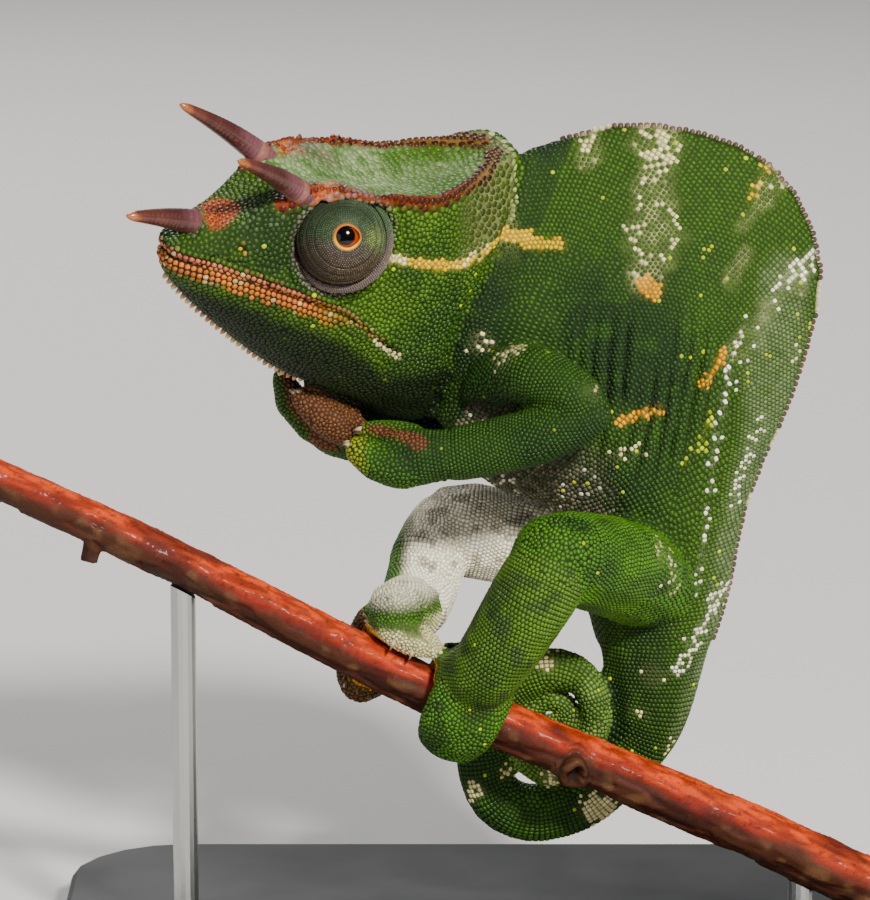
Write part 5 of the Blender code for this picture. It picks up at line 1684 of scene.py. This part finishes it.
def standSteel():
    # brushed stainless steel rod: fine lines round the rod, drawn at 0.15 mm so that they show
    material, tree, shader = newMaterial("brushedSteel", {"Metallic": 1.0, "Base Color": colourOf("b9bab8")})
    place = addNode(tree, "ShaderNodeTexCoord")
    stretch = addNode(tree, "ShaderNodeMapping", {"Scale": (0.08, 0.08, 1.0)}, {"Vector": place.outputs["Object"]})
    lines = addNode(tree, "ShaderNodeTexNoise", {"Scale": 1 / (0.15 * mm), "Detail": 2.0},
                    {"Vector": stretch.outputs["Vector"]})
    gloss = addNode(tree, "ShaderNodeMapRange", {"To Min": 0.22, "To Max": 0.42}, {"Value": lines.outputs["Fac"]})
    bump = addNode(tree, "ShaderNodeBump", {"Strength": 0.15, "Distance": 0.02 * mm},
                   {"Height": lines.outputs["Fac"]})
    tree.links.new(gloss.outputs["Result"], shader.inputs["Roughness"])
    tree.links.new(bump.outputs["Normal"], shader.inputs["Normal"])
    return material


lacquer, steel = standPaint(), standSteel()
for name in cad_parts:
    if name.startswith("stand_"):
        dress([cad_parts[name]], lacquer if name == "stand_base" else steel)
print("materials made")


# Studio: a pale floor, three soft lamps, and a camera level with the animal's shoulder.
studio = {
    "aim": (0.0, 0.0, 64.0),
    "distance": 600.0,
    "elevation": 12.0,
    "viewWide": 104.4,
    "floor": "d9d7d2",
    "sky": "e9ebee",
    "world": 0.21,
    # place in metres, width, power and colour
    "key": ((0.38, -0.80, 0.68), 0.14, 22.0, (1.0, 0.98, 0.94)),
    "fill": ((-0.45, -0.75, 0.25), 0.6, 1.3, (0.94, 0.97, 1.0)),
    "rim": ((-0.25, 0.75, 0.75), 0.4, 7.0, (1.0, 1.0, 1.0)),
}


def softLight(name):
    place, size, power, colour = studio[name]
    data = bpy.data.lights.new(name, "AREA")
    data.shape = "DISK"
    data.size = size
    data.energy = power
    data.color = colour
    lamp = bpy.data.objects.new(name, data)
    bpy.context.scene.collection.objects.link(lamp)
    lamp.location = Vector(place)
    lamp.rotation_euler = (Vector(studio["aim"]) * mm - lamp.location).to_track_quat("-Z", "Y").to_euler()


def layStudio():
    bm = bmesh.new()
    bmesh.ops.create_grid(bm, x_segments=2, y_segments=2, size=1.5)
    mesh = bpy.data.meshes.new("floor")
    bm.to_mesh(mesh)
    bm.free()
    floor = bpy.data.objects.new("floor", mesh)
    bpy.context.scene.collection.objects.link(floor)
    mesh.materials.append(newMaterial("matPalePaper", {"Base Color": colourOf(studio["floor"]), "Roughness": 0.9})[0])
    world = bpy.data.worlds.new("studio")
    world.use_nodes = True
    world.node_tree.nodes["Background"].inputs["Color"].default_value = colourOf(studio["sky"])
    world.node_tree.nodes["Background"].inputs["Strength"].default_value = studio["world"]
    bpy.context.scene.world = world
    for name in ("key", "fill", "rim"):
        softLight(name)
    data = bpy.data.cameras.new("camera")
    data.sensor_fit = "HORIZONTAL"
    data.sensor_width = 36.0
    data.lens = 36.0 * studio["distance"] / studio["viewWide"]
    data.clip_start = 0.01
    data.clip_end = 10.0
    camera = bpy.data.objects.new("camera", data)
    bpy.context.scene.collection.objects.link(camera)
    tilt = math.radians(studio["elevation"])
    aim = Vector(studio["aim"]) * mm
    camera.location = aim + Vector((0, -math.cos(tilt), math.sin(tilt))) * studio["distance"] * mm
    camera.rotation_euler = (aim - camera.location).to_track_quat("-Z", "Y").to_euler()
    bpy.context.scene.camera = camera


layStudio()
print("studio laid out")
